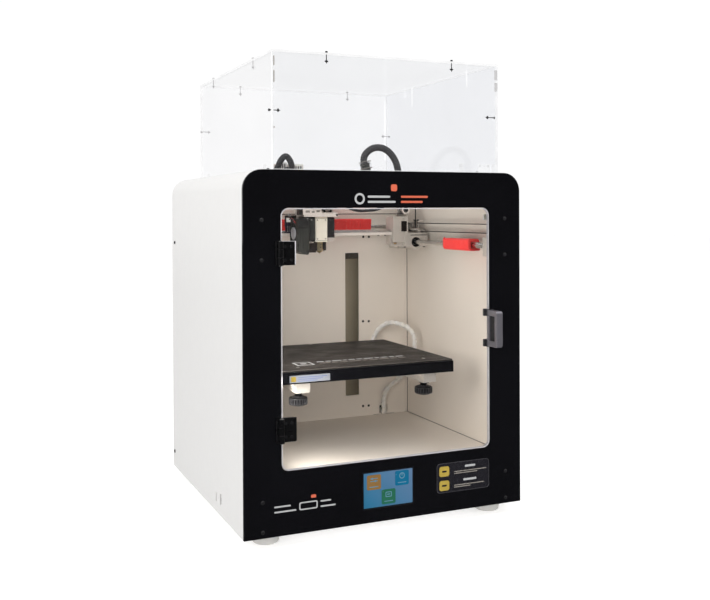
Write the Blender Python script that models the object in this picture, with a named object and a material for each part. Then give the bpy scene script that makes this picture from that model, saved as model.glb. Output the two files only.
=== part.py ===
"""Enclosed desktop filament printer: white sheet-metal case, black glazed front,
clear lift-off hood, gantry head, pulleys for belt-driven X and Y, and a screw-driven bed.

Layout numbers are millimetres: x from the centre plane (+ to the right seen from
the front), y from the face of the front panel towards the back, z from the
lower edge of the front panel. to_frame() turns them into the part's own frame in
metres, whose origin is under the middle of the bounding box, on the floor.
A span is a (low, high) pair along one axis.
"""

import math

import bmesh
import bpy
from mathutils import Vector

# ---- shared dimensions, mm -------------------------------------------------
FOOT_H = 14.0          # rubber feet
CASE_W = 405.0         # across the case and the front panel
CASE_H = 462.7         # front panel, bottom edge to roof
CASE_D = 393.5         # front panel face to rear panel face
CORNER_R = 25.0        # top edges of case and panel
SHEET = 1.5            # case and chamber sheet
PANEL_T = 4.0          # front panel and door
GAP = 0.3              # between pieces that touch
HANDLE_Y = -26.0       # foremost point
ROCKER_Y = 398.0       # rearmost point
Y_MID = (HANDLE_Y + ROCKER_Y) / 2

WINDOW_X = (-153.0, 152.6)         # window in the front panel
WINDOW_Z = (81.0, 414.2)
WINDOW_R = 10.5
SCREEN_X = (-40.8, 33.6)
SCREEN_Z = (18.0, 66.6)

INLET_X, INLET_Z = 140.0, 52.0     # centre of the power inlet
INLET_HALF_W, INLET_HALF_H = 23.0, 30.0

SLOT_X = 84.0                      # chamber slots that the bed arms run in
Z_AXIS_Y = 352.0
ROD_X, ROD_Z, ROD_R = 160.0, 360.2, 4.0              # Y rods
SHAFT_Y, SHAFT_Z, SHAFT_R = 292.0, 384.0, 4.0        # Y drive shaft
DRIVE_X = -119.0                   # plane of the belt from the Y motor to the shaft

MOTOR_W = 42.3
MOTOR_HALF = MOTOR_W / 2
MOTOR_SHAFT_R = 2.5
MOTOR_BORE_R = MOTOR_SHAFT_R + GAP
STEP = 0.01            # axial run of a near-square shoulder on a turned part
ROD_CHAMFER = 0.5
SHARP_ANGLE = math.radians(32)
PIVOT_SIZE = 0.02      # drawn size of the empties, in metres


def to_frame(x, y, z):
    """Layout millimetres to the part's frame, in metres."""
    return Vector((x, y - Y_MID, z + FOOT_H)) / 1000.0


# ---- scene and materials ---------------------------------------------------
for old in list(bpy.data.objects):
    bpy.data.objects.remove(old, do_unlink=True)


def material(name, *, rgb, rough, metal=0.0):
    made = bpy.data.materials.new(name)
    made.use_nodes = True
    shader = made.node_tree.nodes["Principled BSDF"]
    shader.inputs["Base Color"].default_value = (*rgb, 1.0)
    shader.inputs["Roughness"].default_value = rough
    shader.inputs["Metallic"].default_value = metal
    return made


WHITE = material("white_powder_coat", rgb=(0.86, 0.86, 0.85), rough=0.45)
LINER = material("chamber_white", rgb=(0.78, 0.76, 0.72), rough=0.5)
BLACK = material("black_gloss", rgb=(0.012, 0.012, 0.014), rough=0.12)
SCREEN = material("screen_blue", rgb=(0.16, 0.42, 0.60), rough=0.15)
CLEAR = material("clear_acrylic", rgb=(0.92, 0.93, 0.96), rough=0.04)
RUBBER = material("pale_rubber", rgb=(0.75, 0.75, 0.74), rough=0.6)
STEEL = material("ground_steel", rgb=(0.62, 0.62, 0.62), rough=0.22, metal=1.0)
ALU = material("pale_aluminium", rgb=(0.72, 0.71, 0.68), rough=0.38, metal=0.6)
ALU_GREY = material("grey_aluminium", rgb=(0.45, 0.45, 0.48), rough=0.32, metal=0.9)
PLASTIC = material("black_plastic", rgb=(0.02, 0.02, 0.022), rough=0.45)
BED_BLACK = material("bed_black", rgb=(0.025, 0.025, 0.028), rough=0.5)
BRASS = material("brass", rgb=(0.62, 0.45, 0.20), rough=0.3, metal=1.0)
RED = material("red_clip", rgb=(0.72, 0.06, 0.05), rough=0.55)
MOTOR = material("motor_black", rgb=(0.03, 0.03, 0.032), rough=0.4, metal=0.3)
COVER = material("hot_end_white", rgb=(0.82, 0.79, 0.72), rough=0.6)

# ---- objects ---------------------------------------------------------------
PIVOTS = {}            # name: (empty, its position in the part's frame)


def hang(item, at, parent):
    """Links an object to the scene with its origin at `at`, under a pivot if one is named."""
    bpy.context.scene.collection.objects.link(item)
    position = to_frame(*at)
    item.location = position
    if parent:
        item.parent, base = PIVOTS[parent]
        item.location = position - base
    return position


def pivot(name, at, parent=None):
    """An empty at a joint, for the pieces that move on it."""
    empty = bpy.data.objects.new(name, None)
    empty.empty_display_size = PIVOT_SIZE
    PIVOTS[name] = (empty, hang(empty, at, parent))


def finish(bm, name, mat, at, parent):
    """Turns a bmesh in layout millimetres into an object whose origin is at `at`."""
    origin = to_frame(*at)
    for vert in bm.verts:
        vert.co = to_frame(*vert.co) - origin
    bmesh.ops.recalc_face_normals(bm, faces=bm.faces)
    mesh = bpy.data.meshes.new(name)
    bm.to_mesh(mesh)
    bm.free()
    mesh.materials.append(mat)
    mesh.shade_smooth()
    mesh.set_sharp_from_angle(angle=SHARP_ANGLE)
    made = bpy.data.objects.new(name, mesh)
    hang(made, at, parent)
    return made


helper_count = 0


def solid(name, base, mat, at, parent=None, add=(), cut=()):
    """One named piece: `base`, with each shape of `add` joined and each of `cut` taken away."""
    global helper_count
    made = finish(base, name, mat, at, parent)
    for kind, shapes in (("UNION", add), ("DIFFERENCE", cut)):
        for shape in shapes:
            helper_count += 1
            helper_name = f"helper_{helper_count:03d}_{name}"[:58]
            helper = finish(shape, helper_name, mat, at, parent)
            helper.hide_render = True
            helper.display_type = "WIRE"
            step = made.modifiers.new(f"{kind.lower()}_{helper_count}", "BOOLEAN")
            step.operation = kind
            step.solver = "EXACT"
            step.object = helper


# ---- spans and outlines ----------------------------------------------------
SIGNS = (-1, 1)
SIDES = (("left", -1), ("right", 1))


def around(middle, half):
    return (middle - half, middle + half)


def mirror(sign, x0, x1):
    """An x span on the right side, or its mirror image on the left."""
    return (x0, x1) if sign > 0 else (-x1, -x0)


def arc(centre_u, centre_v, radius, start, end, steps):
    """Points from angle start to end, in degrees."""
    angles = [math.radians(start + (end - start) * i / steps) for i in range(steps + 1)]
    return [(centre_u + radius * math.cos(a), centre_v + radius * math.sin(a)) for a in angles]


def rounded(u_span, v_span, radii, steps):
    """A rectangle with a radius per corner: lower left, lower right, upper right, upper left."""
    (u0, u1), (v0, v1) = u_span, v_span
    # corner u and v, start angle, and the way inwards along u and v
    corners = ((u0, v0, 180, 1, 1), (u1, v0, 270, -1, 1), (u1, v1, 0, -1, -1), (u0, v1, 90, 1, -1))
    points = []
    for (u, v, start, in_u, in_v), r in zip(corners, radii):
        points += arc(u + in_u * r, v + in_v * r, r, start, start + 90, steps) if r else [(u, v)]
    return points


# ---- shapes, each a bmesh in layout millimetres ----------------------------
# Across axis x, (u, v) is (y, z); across y it is (x, z); across z it is (x, y).
def place(axis, u, v, along):
    if axis == "x":
        return Vector((along, u, v))
    if axis == "y":
        return Vector((u, along, v))
    return Vector((u, v, along))


def box(*spans):
    """A box from its x, y and z spans."""
    bm = bmesh.new()
    bmesh.ops.create_cube(bm, size=1.0)
    for vert in bm.verts:
        vert.co = [low + (unit + 0.5) * (high - low) for unit, (low, high) in zip(vert.co, spans)]
    return bm


def prism(outline, axis, span):
    """An outline in the plane across `axis`, extruded over the span."""
    bm = bmesh.new()
    face = bm.faces.new([bm.verts.new(place(axis, u, v, span[0])) for u, v in outline])
    grown = bmesh.ops.extrude_face_region(bm, geom=[face])
    moved = [item for item in grown["geom"] if isinstance(item, bmesh.types.BMVert)]
    bmesh.ops.translate(bm, verts=moved, vec=place(axis, 0, 0, span[1] - span[0]))
    return bm


def lathe(profile, axis, centre, steps, closed=False):
    """A profile of (along, radius) turned about the axis; closed makes a ring, open is capped."""
    bm = bmesh.new()
    turns = [2 * math.pi * i / steps for i in range(steps)]
    rings = []
    for along, r in profile:
        points = [(centre[0] + r * math.cos(t), centre[1] + r * math.sin(t)) for t in turns]
        rings.append([bm.verts.new(place(axis, u, v, along)) for u, v in points])
    following = rings[1:] + rings[:1] if closed else rings[1:]
    for low, high in zip(rings, following):
        for i in range(steps):
            j = (i + 1) % steps
            bm.faces.new((low[i], low[j], high[j], high[i]))
    if not closed:
        bm.faces.new(rings[0][::-1])
        bm.faces.new(rings[-1])
    return bm


def cylinder(axis, centre, span, radius, steps):
    return lathe([(end, radius) for end in span], axis, centre, steps)


def rod(axis, centre, span, radius, steps):
    """A cylinder with chamfered ends."""
    start, end = span
    small = radius - ROD_CHAMFER
    profile = [
        (start, small), (start + ROD_CHAMFER, radius), (end - ROD_CHAMFER, radius), (end, small),
    ]
    return lathe(profile, axis, centre, steps)


# ---- case ------------------------------------------------------------------
HALF = CASE_W / 2
INNER = HALF - SHEET
ARC_X, ARC_Z = HALF - CORNER_R, CASE_H - CORNER_R    # centres of the top corners
INNER_R = CORNER_R - SHEET
LEFT_WALL = (-HALF - 5, -INNER + 5)                  # cutter span through the left side

wrap = (                                             # outer skin, then back along the inner
    [(-HALF, 0.0)]
    + arc(-ARC_X, ARC_Z, CORNER_R, 180, 90, 8)
    + arc(ARC_X, ARC_Z, CORNER_R, 90, 0, 8)
    + [(HALF, 0.0), (INNER, 0.0)]
    + arc(ARC_X, ARC_Z, INNER_R, 0, 90, 8)
    + arc(-ARC_X, ARC_Z, INNER_R, 90, 180, 8)
    + [(-INNER, 0.0)]
)
solid(
    "outer_casing", prism(wrap, "y", (PANEL_T + GAP, CASE_D - SHEET - GAP)),
    WHITE, (0, CASE_D / 2, 0),
    cut=(
        box(around(0, 140), (40, 345), around(CASE_H, 10)),  # roof opening under the hood
        box(LEFT_WALL, (129.2, 134.0), (14, 26)),            # card slot
        box(LEFT_WALL, (105.6, 111.6), (15, 30)),            # service port
    ),
)

# chassis pan: rear panel and floor sheet
VENT_X, VENT_W, VENT_PITCH, VENTS = -120, 7, 14, 8
REAR_PANEL = around(CASE_D, 5)                       # cutter span through the panel
vent_starts = [VENT_X + VENT_PITCH * i for i in range(VENTS)]
panel = rounded(around(0, HALF), (0.0, CASE_H), (0, 0, CORNER_R, CORNER_R), 8)
solid(
    "chassis_pan", prism(panel, "y", (CASE_D - SHEET, CASE_D)), WHITE, (0, CASE_D, 0),
    add=(box(around(0, INNER - GAP), (PANEL_T + 0.9, CASE_D - SHEET / 2), (0.0, SHEET)),),
    cut=(
        box(around(INLET_X, INLET_HALF_W + GAP), REAR_PANEL, around(INLET_Z, INLET_HALF_H + GAP)),
        *(box((x, x + VENT_W), REAR_PANEL, (22, 62)) for x in vent_starts),
    ),
)

FRONT_CUT = (-5, PANEL_T + 5)
solid(
    "front_panel", prism(panel, "y", (0.0, PANEL_T)), BLACK, (0, 0, 0),
    cut=(
        prism(rounded(WINDOW_X, WINDOW_Z, (WINDOW_R,) * 4, 6), "y", FRONT_CUT),
        box(SCREEN_X, FRONT_CUT, SCREEN_Z),
    ),
)

# chamber: side and rear walls, then the floor
CHAMBER_X = 187.0
CHAMBER_FRONT, CHAMBER_BACK = 6.0, 322.0
CHAMBER_TOP, FLOOR_Z = 456.0, 66.0
SLOT_W = 24.4
BACK_WALL = around(CHAMBER_BACK, 5)                  # cutter span through the rear wall

liner_x, liner_y = CHAMBER_X + SHEET, CHAMBER_BACK + SHEET
liner = [
    (-liner_x, CHAMBER_FRONT), (-liner_x, liner_y), (liner_x, liner_y), (liner_x, CHAMBER_FRONT),
    (CHAMBER_X, CHAMBER_FRONT), (CHAMBER_X, CHAMBER_BACK),
    (-CHAMBER_X, CHAMBER_BACK), (-CHAMBER_X, CHAMBER_FRONT),
]
solid(
    "chamber_liner", prism(liner, "z", (FLOOR_Z - SHEET, CHAMBER_TOP)),
    LINER, (0, CHAMBER_BACK, FLOOR_Z),
    cut=(
        *(box(around(s * SLOT_X, SLOT_W / 2), BACK_WALL, (102.0, 341.0)) for s in SIGNS),
        box(around(DRIVE_X, 7), BACK_WALL, around(SHAFT_Z, 13)),
        box((134, 148), BACK_WALL, (68.5, 81)),      # bed cable exit
    ),
)
solid(
    "chamber_floor",
    box(around(0, CHAMBER_X - GAP), (CHAMBER_FRONT, CHAMBER_BACK - GAP), (FLOOR_Z - SHEET, FLOOR_Z)),
    LINER, (0, 160, FLOOR_Z),
)

SCREEN_GAP = 0.4
solid(
    "touchscreen",
    box(
        (SCREEN_X[0] + SCREEN_GAP, SCREEN_X[1] - SCREEN_GAP), (0.2, 5.6),
        (SCREEN_Z[0] + SCREEN_GAP, SCREEN_Z[1] - SCREEN_GAP),
    ),
    SCREEN, (sum(SCREEN_X) / 2, 0, sum(SCREEN_Z) / 2),
)

FOOT_X = 165.0
FOOT_PROFILE = [(-FOOT_H, 15.5), (-FOOT_H + 1.5, 17.0), (-1.5, 18.0), (-GAP, 17.4)]  # z, radius
for end, foot_y in (("front", 30.0), ("rear", 358.0)):
    for side, sign in SIDES:
        foot = (sign * FOOT_X, foot_y)
        solid(f"foot_{end}_{side}", lathe(FOOT_PROFILE, "z", foot, 24), RUBBER, (*foot, -FOOT_H))

# ---- door ------------------------------------------------------------------
DOOR_GAP = 0.8
HINGE_X, HINGE_Y, HINGE_R = -155.0, -6.0, 4.0
HINGE_AXIS = (HINGE_X, HINGE_Y)
HINGE_H = 30.3
HINGE_PIN_R = 1.5
LEAF_Y = (-1.7, -GAP)
HANDLE_Z0, HANDLE_Z1, HANDLE_CHAMFER = 222, 272, 2.5

DOOR_AT = (*HINGE_AXIS, WINDOW_Z[0])
pivot("door_axis", DOOR_AT)
pane = rounded(
    (WINDOW_X[0] + DOOR_GAP, WINDOW_X[1] - DOOR_GAP),
    (WINDOW_Z[0] + DOOR_GAP, WINDOW_Z[1] - DOOR_GAP), (WINDOW_R - DOOR_GAP,) * 4, 6,
)
solid("door_glass", prism(pane, "y", (0.0, PANEL_T)), CLEAR, DOOR_AT, "door_axis")

handle = [                                           # y, z
    (-GAP, HANDLE_Z0), (HANDLE_Y + HANDLE_CHAMFER, HANDLE_Z0),
    (HANDLE_Y, HANDLE_Z0 + HANDLE_CHAMFER), (HANDLE_Y, HANDLE_Z1 - HANDLE_CHAMFER),
    (HANDLE_Y + HANDLE_CHAMFER, HANDLE_Z1), (-GAP, HANDLE_Z1),
]
solid(
    "door_handle", prism(handle, "x", (148.5, 158.0)), ALU_GREY, (153, -12, 247), "door_axis",
    cut=(box((140, 153.5), (-19.5, -5.5), (229.5, 264.5)),),
)


def hinge(level, z0):
    """A frame leaf with the outer knuckles and pin, and a door leaf with the middle knuckle."""
    knuckle = (HINGE_H - 2 * GAP) / 3
    z1 = z0 + HINGE_H
    lower = (z0, z0 + knuckle)
    middle = (z0 + knuckle + GAP, z0 + 2 * knuckle + GAP)
    upper = (z0 + 2 * knuckle + 2 * GAP, z1)
    at = (*HINGE_AXIS, z0)
    web_y = (HINGE_Y, -GAP)
    solid(
        f"hinge_{level}_frame_leaf", box((HINGE_X - 5.2, HINGE_X - 1.5), LEAF_Y, (z0, z1)),
        PLASTIC, at,
        add=(
            *(cylinder("z", HINGE_AXIS, span, HINGE_R, 16) for span in (lower, upper)),
            *(box((HINGE_X - HINGE_R, HINGE_X), web_y, span) for span in (lower, upper)),
            cylinder("z", HINGE_AXIS, (z0 + 2, z1 - 2), HINGE_PIN_R, 12),
        ),
    )
    solid(
        f"hinge_{level}_door_leaf", box((HINGE_X + 1.3, HINGE_X + 20.5), LEAF_Y, (z0, z1)),
        PLASTIC, at, "door_axis",
        add=(
            cylinder("z", HINGE_AXIS, middle, HINGE_R, 16),
            box((HINGE_X, HINGE_X + HINGE_R), web_y, middle),
        ),
        cut=(cylinder("z", HINGE_AXIS, (middle[0] - 5, middle[1] + 5), HINGE_PIN_R + GAP, 12),),
    )


hinge("lower", 118.4)
hinge("upper", 341.7)

# ---- hood: lifts off, and sits a little to the right -----------------------
HOOD_X0, HOOD_X1 = HOOD_X = (-162.5, 169.5)
HOOD_Y0, HOOD_Y1 = HOOD_Y = (3.0, 365.7)
HOOD_TOP = 614.5
HOOD_T = 3.0
HOOD_AT = (0, (HOOD_Y0 + HOOD_Y1) / 2, CASE_H)

wall_z = (CASE_H + GAP, HOOD_TOP - HOOD_T - GAP)
side_y = (HOOD_Y0 + HOOD_T + GAP, HOOD_Y1 - HOOD_T - GAP)
pivot("hood_lift", HOOD_AT)
for face, spans in (
    ("front", (HOOD_X, (HOOD_Y0, HOOD_Y0 + HOOD_T), wall_z)),
    ("back", (HOOD_X, (HOOD_Y1 - HOOD_T, HOOD_Y1), wall_z)),
    ("left", ((HOOD_X0, HOOD_X0 + HOOD_T), side_y, wall_z)),
    ("right", ((HOOD_X1 - HOOD_T, HOOD_X1), side_y, wall_z)),
    ("top", (HOOD_X, HOOD_Y, (HOOD_TOP - HOOD_T, HOOD_TOP))),
):
    solid(f"hood_{face}", box(*spans), CLEAR, HOOD_AT, "hood_lift")

# ---- Z axis ----------------------------------------------------------------
SCREW_AXIS = (0, Z_AXIS_Y)
Z_ROD_X, Z_ROD_R = 60.0, 5.0
Z_BASE = 2.0                       # underside of the motor and rods
SCREW_R = 4.0
COUPLING_R = 9.5                   # foot of the screw, over the motor shaft
COUPLING_Z0, COUPLING_Z1 = 44, 70
RUN_FIT = 0.4                      # carriage on rods and screw

solid(
    "z_motor", box(around(0, MOTOR_HALF), around(Z_AXIS_Y, MOTOR_HALF), (Z_BASE, 42.0)),
    MOTOR, (*SCREW_AXIS, Z_BASE),
    add=(rod("z", SCREW_AXIS, (40, 52), MOTOR_SHAFT_R, 12),),
)
for side, sign in SIDES:
    centre = (sign * Z_ROD_X, Z_AXIS_Y)
    solid(
        f"z_rod_{side}", rod("z", centre, (Z_BASE, 455.0), Z_ROD_R, 16), STEEL, (*centre, Z_BASE),
    )
pivot("z_screw_axis", (*SCREW_AXIS, COUPLING_Z0))
screw = [
    (COUPLING_Z0, COUPLING_R), (COUPLING_Z1, COUPLING_R), (COUPLING_Z1 + STEP, SCREW_R),
    (440, SCREW_R),
]
solid(
    "z_screw", lathe(screw, "z", SCREW_AXIS, 16), STEEL, (*SCREW_AXIS, COUPLING_Z0),
    "z_screw_axis", cut=(cylinder("z", SCREW_AXIS, (40, 54), MOTOR_BORE_R, 12),),
)

# ---- bed -------------------------------------------------------------------
BED_X = 134.4
BED_Y0, BED_Y1 = 67.2, 305.0
BED_BOTTOM, BED_TOP = 177.3, 195.3
PLATE_T, PLATE_INSET = 2.0, 1.0
ARM_X, ARM_W, ARM_Z0 = 97.0, 20.0, 163.5
ARM_SPANS = ((72, 311.7), (ARM_Z0, 177))             # y, z
CROSS_Z = (ARM_Z0 + 1, 176)
BED_AT = (*SCREW_AXIS, ARM_Z0)
KNOBS = (                                            # name, x and y
    ("front_left", (-ARM_X, 91.5)),
    ("front_right", (ARM_X, 91.5)),
    ("rear", (0.0, 298.0)),
)

pivot("bed_slide", BED_AT)
solid(
    "z_carriage", box((-95, 95), (335, 369), (150, 190)), ALU, BED_AT, "bed_slide",
    add=[box(around(s * SLOT_X, 9), (312, 340), (ARM_Z0, 185)) for s in SIGNS],
    cut=[
        cylinder("z", (x, Z_AXIS_Y), (100, 240), r + RUN_FIT, 16)
        for x, r in ((-Z_ROD_X, Z_ROD_R), (Z_ROD_X, Z_ROD_R), (0, SCREW_R))
    ],
)
solid(
    "bed_frame", box(around(ARM_X, ARM_W / 2), *ARM_SPANS), ALU, BED_AT, "bed_slide",
    add=(
        box(around(-ARM_X, ARM_W / 2), *ARM_SPANS),
        box(around(0, ARM_X), (135, 155), CROSS_Z),
        box(around(0, ARM_X), (284.5, 311.0), CROSS_Z),
    ),
    cut=[cylinder("z", centre, (150, 190), 2.6, 12) for _, centre in KNOBS],
)
heater = rounded(around(0, BED_X), (BED_Y0, BED_Y1), (2,) * 4, 2)
solid(
    "heated_bed", prism(heater, "z", (BED_BOTTOM, BED_TOP - PLATE_T - GAP)),
    BED_BLACK, BED_AT, "bed_slide",
)
plate = rounded(
    around(0, BED_X - PLATE_INSET), (BED_Y0 + PLATE_INSET, BED_Y1 - PLATE_INSET), (3,) * 4, 3,
)
solid(
    "build_plate", prism(plate, "z", (BED_TOP - PLATE_T, BED_TOP)), BED_BLACK, BED_AT, "bed_slide",
)

KNOB_Z0, KNOB_Z1 = 145.0, 155.0
KNOB_R, LOBE_H, LOBES, KNOB_POINTS = 12.0, 0.5, 10, 40
STEM_PROFILE = [(150, 5.0), (160, 5.0), (160 + STEP, 2.2), (176.7, 2.2)]  # z, radius


def knob(name, centre):
    """A lobed adjusting knob with a collar and stud above it."""
    grip = []
    for i in range(KNOB_POINTS):
        turn = 2 * math.pi * i / KNOB_POINTS
        r = KNOB_R + LOBE_H * math.cos(LOBES * turn)
        grip.append((centre[0] + r * math.cos(turn), centre[1] + r * math.sin(turn)))
    at = (*centre, KNOB_Z0)
    pivot(f"knob_{name}_axis", at, "bed_slide")
    solid(
        f"bed_knob_{name}", prism(grip, "z", (KNOB_Z0, KNOB_Z1)), PLASTIC, at, f"knob_{name}_axis",
        add=(lathe(STEM_PROFILE, "z", centre, 12),),
    )


for name, centre in KNOBS:
    knob(name, centre)

# ---- Y axis ----------------------------------------------------------------
SHAFT_AXIS = (SHAFT_Y, SHAFT_Z)
SHAFT_END = 183.0
BELT_X = 174.5                     # planes of the two Y belts
Y_MOTOR_AXIS = (350.0, SHAFT_Z)
PULLEY_R = 6.37                    # 20 teeth at 2 mm pitch
FLANGE_R = 7.6
SEAT_HALF = 3.6                    # half the width between flanges
PULLEY_HALF, SHAFT_PULLEY_HALF = 4.8, 5.0

for side, sign in SIDES:
    rod_axis = (sign * ROD_X, ROD_Z)
    solid(
        f"y_rod_{side}", rod("y", rod_axis, (10.3, 309.0), ROD_R, 20),
        STEEL, (sign * ROD_X, 160, ROD_Z),
    )
    solid(
        f"y_end_block_{side}", box(mirror(sign, 154.2, 170.0), (6.3, 20.0), (345.6, 372.4)),
        ALU, (sign * ROD_X, 13, ROD_Z),
        add=(box(mirror(sign, 165.0, 186.0), (6.3, 10.0), (350.0, 394.0)),),
        cut=(cylinder("y", rod_axis, (10.0, 30.0), ROD_R + GAP, 16),),
    )
# cross bar with a cheek at each end that holds the shaft and the rod
solid(
    "drive_shaft_bracket", box((-168, 168), (317.0, 321.0), (370.6, 376.2)), ALU, (0, 319, 373),
    add=[box(mirror(s, 152.0, 168.0), (283.0, 320.0), (348.0, 390.5)) for s in SIGNS],
    cut=(
        *(cylinder("x", SHAFT_AXIS, mirror(s, 150.0, 170.0), SHAFT_R + GAP, 16) for s in SIGNS),
        *(cylinder("y", (s * ROD_X, ROD_Z), (280.0, 310.0), ROD_R + GAP, 16) for s in SIGNS),
    ),
)


def belt_seat(middle):
    """Profile of a belt seat between its flange edges."""
    run = SEAT_HALF - STEP
    return [
        (middle - SEAT_HALF, FLANGE_R), (middle - run, PULLEY_R),
        (middle + run, PULLEY_R), (middle + SEAT_HALF, FLANGE_R),
    ]


def pulley(middle, bore):
    """A closed profile for a flanged 20-tooth pulley with a bore."""
    low, high = around(middle, PULLEY_HALF)
    return [(low, bore), (low, FLANGE_R), *belt_seat(middle), (high, FLANGE_R), (high, bore)]


shaft_line = [(-SHAFT_END, SHAFT_R)]
for middle in (-BELT_X, DRIVE_X, BELT_X):
    low, high = around(middle, SHAFT_PULLEY_HALF)
    shaft_line += [(low, SHAFT_R), (low + STEP, FLANGE_R)]
    shaft_line += belt_seat(middle)
    shaft_line += [(high - STEP, FLANGE_R), (high, SHAFT_R)]
shaft_line.append((SHAFT_END, SHAFT_R))
pivot("drive_shaft_axis", (0, *SHAFT_AXIS))
solid(
    "y_drive_shaft", lathe(shaft_line, "x", SHAFT_AXIS, 16),
    STEEL, (0, *SHAFT_AXIS), "drive_shaft_axis",
)
solid(
    "y_motor", box((-110.0, -70.0), *(around(c, MOTOR_HALF) for c in Y_MOTOR_AXIS)),
    MOTOR, (-90, *Y_MOTOR_AXIS),
    add=(rod("x", Y_MOTOR_AXIS, (-125.0, -108.0), MOTOR_SHAFT_R, 12),),
)
pivot("y_motor_axis", (DRIVE_X, *Y_MOTOR_AXIS))
solid(
    "y_motor_pulley", lathe(pulley(DRIVE_X, MOTOR_BORE_R), "x", Y_MOTOR_AXIS, 16, closed=True),
    ALU, (DRIVE_X, *Y_MOTOR_AXIS), "y_motor_axis",
)

# ---- gantry ----------------------------------------------------------------
BEAM_X = 119.0
BEAM_Z0, BEAM_Z1 = 372.2, 376.6
RAIL_Y0, RAIL_Y1, RAIL_Z1 = 245.0, 257.0, 380.3
X_BELT_Y, X_BELT_Z = 239.5, 412.5  # centre plane and centre height of the X belt loop
X_MOTOR_X, X_IDLER_X = -148.0, 141.3
IDLER_PIN_R = 2.4
MOTOR_BOSS_R = 11.0
GANTRY_AT = (0, 251, BEAM_Z0)

pivot("gantry_slide", GANTRY_AT)


def gantry_block(side, sign):
    """The bearing block on one Y rod; it carries the X idler (right) or the X motor (left)."""
    rod_axis = (sign * ROD_X, ROD_Z)
    right = sign > 0
    add = [
        cylinder("y", rod_axis, (235.0, 273.0), 12.0, 24),
        box(mirror(sign, 116.6, 142.0), (241.0, 257.0), (353.0, BEAM_Z0 - GAP)),
        box(
            mirror(sign, 119.4, 146.0 if right else 142.0),
            (236.0, 264.0 if right else 254.0), (360.0, 402.0),
        ),
        box(mirror(sign, 168.5, 180.5), (243.0, 265.0), (370.0, 379.5)),
    ]
    wedge = [(sign * 110.0, 350.0), (sign * 128.0, 350.0), (sign * 110.0, 362.0)]
    cut = [
        cylinder("y", rod_axis, (230.0, 280.0), ROD_R + 0.5, 20),
        cylinder("y", rod_axis, (230.0, 241.0), 8.0, 20),
        prism(wedge, "y", (238.0, 268.0)),
    ]
    if right:
        add.append(box((131.0, 149.0), (244.5, 250.0), (372.0, 420.0)))
        pin = (X_BELT_Y - SEAT_HALF, 246.0)
        add.append(cylinder("y", (X_IDLER_X, X_BELT_Z), pin, IDLER_PIN_R, 12))
        cut.append(box((134.0, 143.9), (230.0, 243.5), (377.5, 394.4)))
    else:
        add.append(box(around(X_MOTOR_X, 21), (250.0, 254.0), (372.0, 433.6)))
        boss_hole = MOTOR_BOSS_R + 0.5
        cut.append(cylinder("y", (X_MOTOR_X, X_BELT_Z), (240.0, 260.0), boss_hole, 20))
    solid(
        f"gantry_block_{side}", box(mirror(sign, 139.5, 181.5), (235.0, 273.0), (353.0, 375.0)),
        ALU, (sign * ROD_X, 254, ROD_Z), "gantry_slide", add=add, cut=cut,
    )


for side, sign in SIDES:
    gantry_block(side, sign)
solid(
    "x_beam", box(around(0, BEAM_X), (240.0, 262.0), (BEAM_Z0, BEAM_Z1)),
    WHITE, GANTRY_AT, "gantry_slide",
)
# z and inset of one grooved flank of the rail, bottom to top
RAIL_FLANK = [(BEAM_Z1 + GAP, 0), (377.8, 0), (378.3, 0.7), (379.0, 0.7), (379.5, 0), (RAIL_Z1, 0)]
rail = (
    [(RAIL_Y0, BEAM_Z1 + GAP)]
    + [(RAIL_Y1 - inset, z) for z, inset in RAIL_FLANK]
    + [(RAIL_Y0 + inset, z) for z, inset in RAIL_FLANK[:0:-1]]
)
solid("x_rail", prism(rail, "x", around(0, BEAM_X)), STEEL, GANTRY_AT, "gantry_slide")
x_motor_axis = (X_MOTOR_X, X_BELT_Z)
solid(
    "x_motor",
    box(around(X_MOTOR_X, MOTOR_HALF), (254.6, 288.6), around(X_BELT_Z, MOTOR_HALF)),
    MOTOR, (X_MOTOR_X, 271, X_BELT_Z), "gantry_slide",
    add=(
        cylinder("y", x_motor_axis, (251.5, 256.0), MOTOR_BOSS_R, 20),
        rod("y", x_motor_axis, (233.5, 256.0), MOTOR_SHAFT_R, 12),
    ),
)
for name, x, bore, steps in (
    ("motor", X_MOTOR_X, MOTOR_BORE_R, 16),
    ("idler", X_IDLER_X, IDLER_PIN_R + GAP, 20),
):
    at = (x, X_BELT_Y, X_BELT_Z)
    pivot(f"x_{name}_axis", at, "gantry_slide")
    ring = lathe(pulley(X_BELT_Y, bore), "y", (x, X_BELT_Z), steps, closed=True)
    solid(f"x_{name}_pulley", ring, ALU, at, f"x_{name}_axis")

# ---- head ------------------------------------------------------------------
NOZZLE_X, NOZZLE_Y, NOZZLE_TIP = -13.5, 222.0, 345.5
CONE_TOP = NOZZLE_TIP + 2.6
HEAD_AT = (NOZZLE_X, NOZZLE_Y, RAIL_Z1)
RAIL_FIT = 0.4
FAN_AXIS = (216.0, 377.2)          # y, z
EXTRUDER_Z0 = 415.0                # underside of the extruder motor
EXTRUDER_AXIS = (NOZZLE_X, EXTRUDER_Z0 + MOTOR_HALF)

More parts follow.
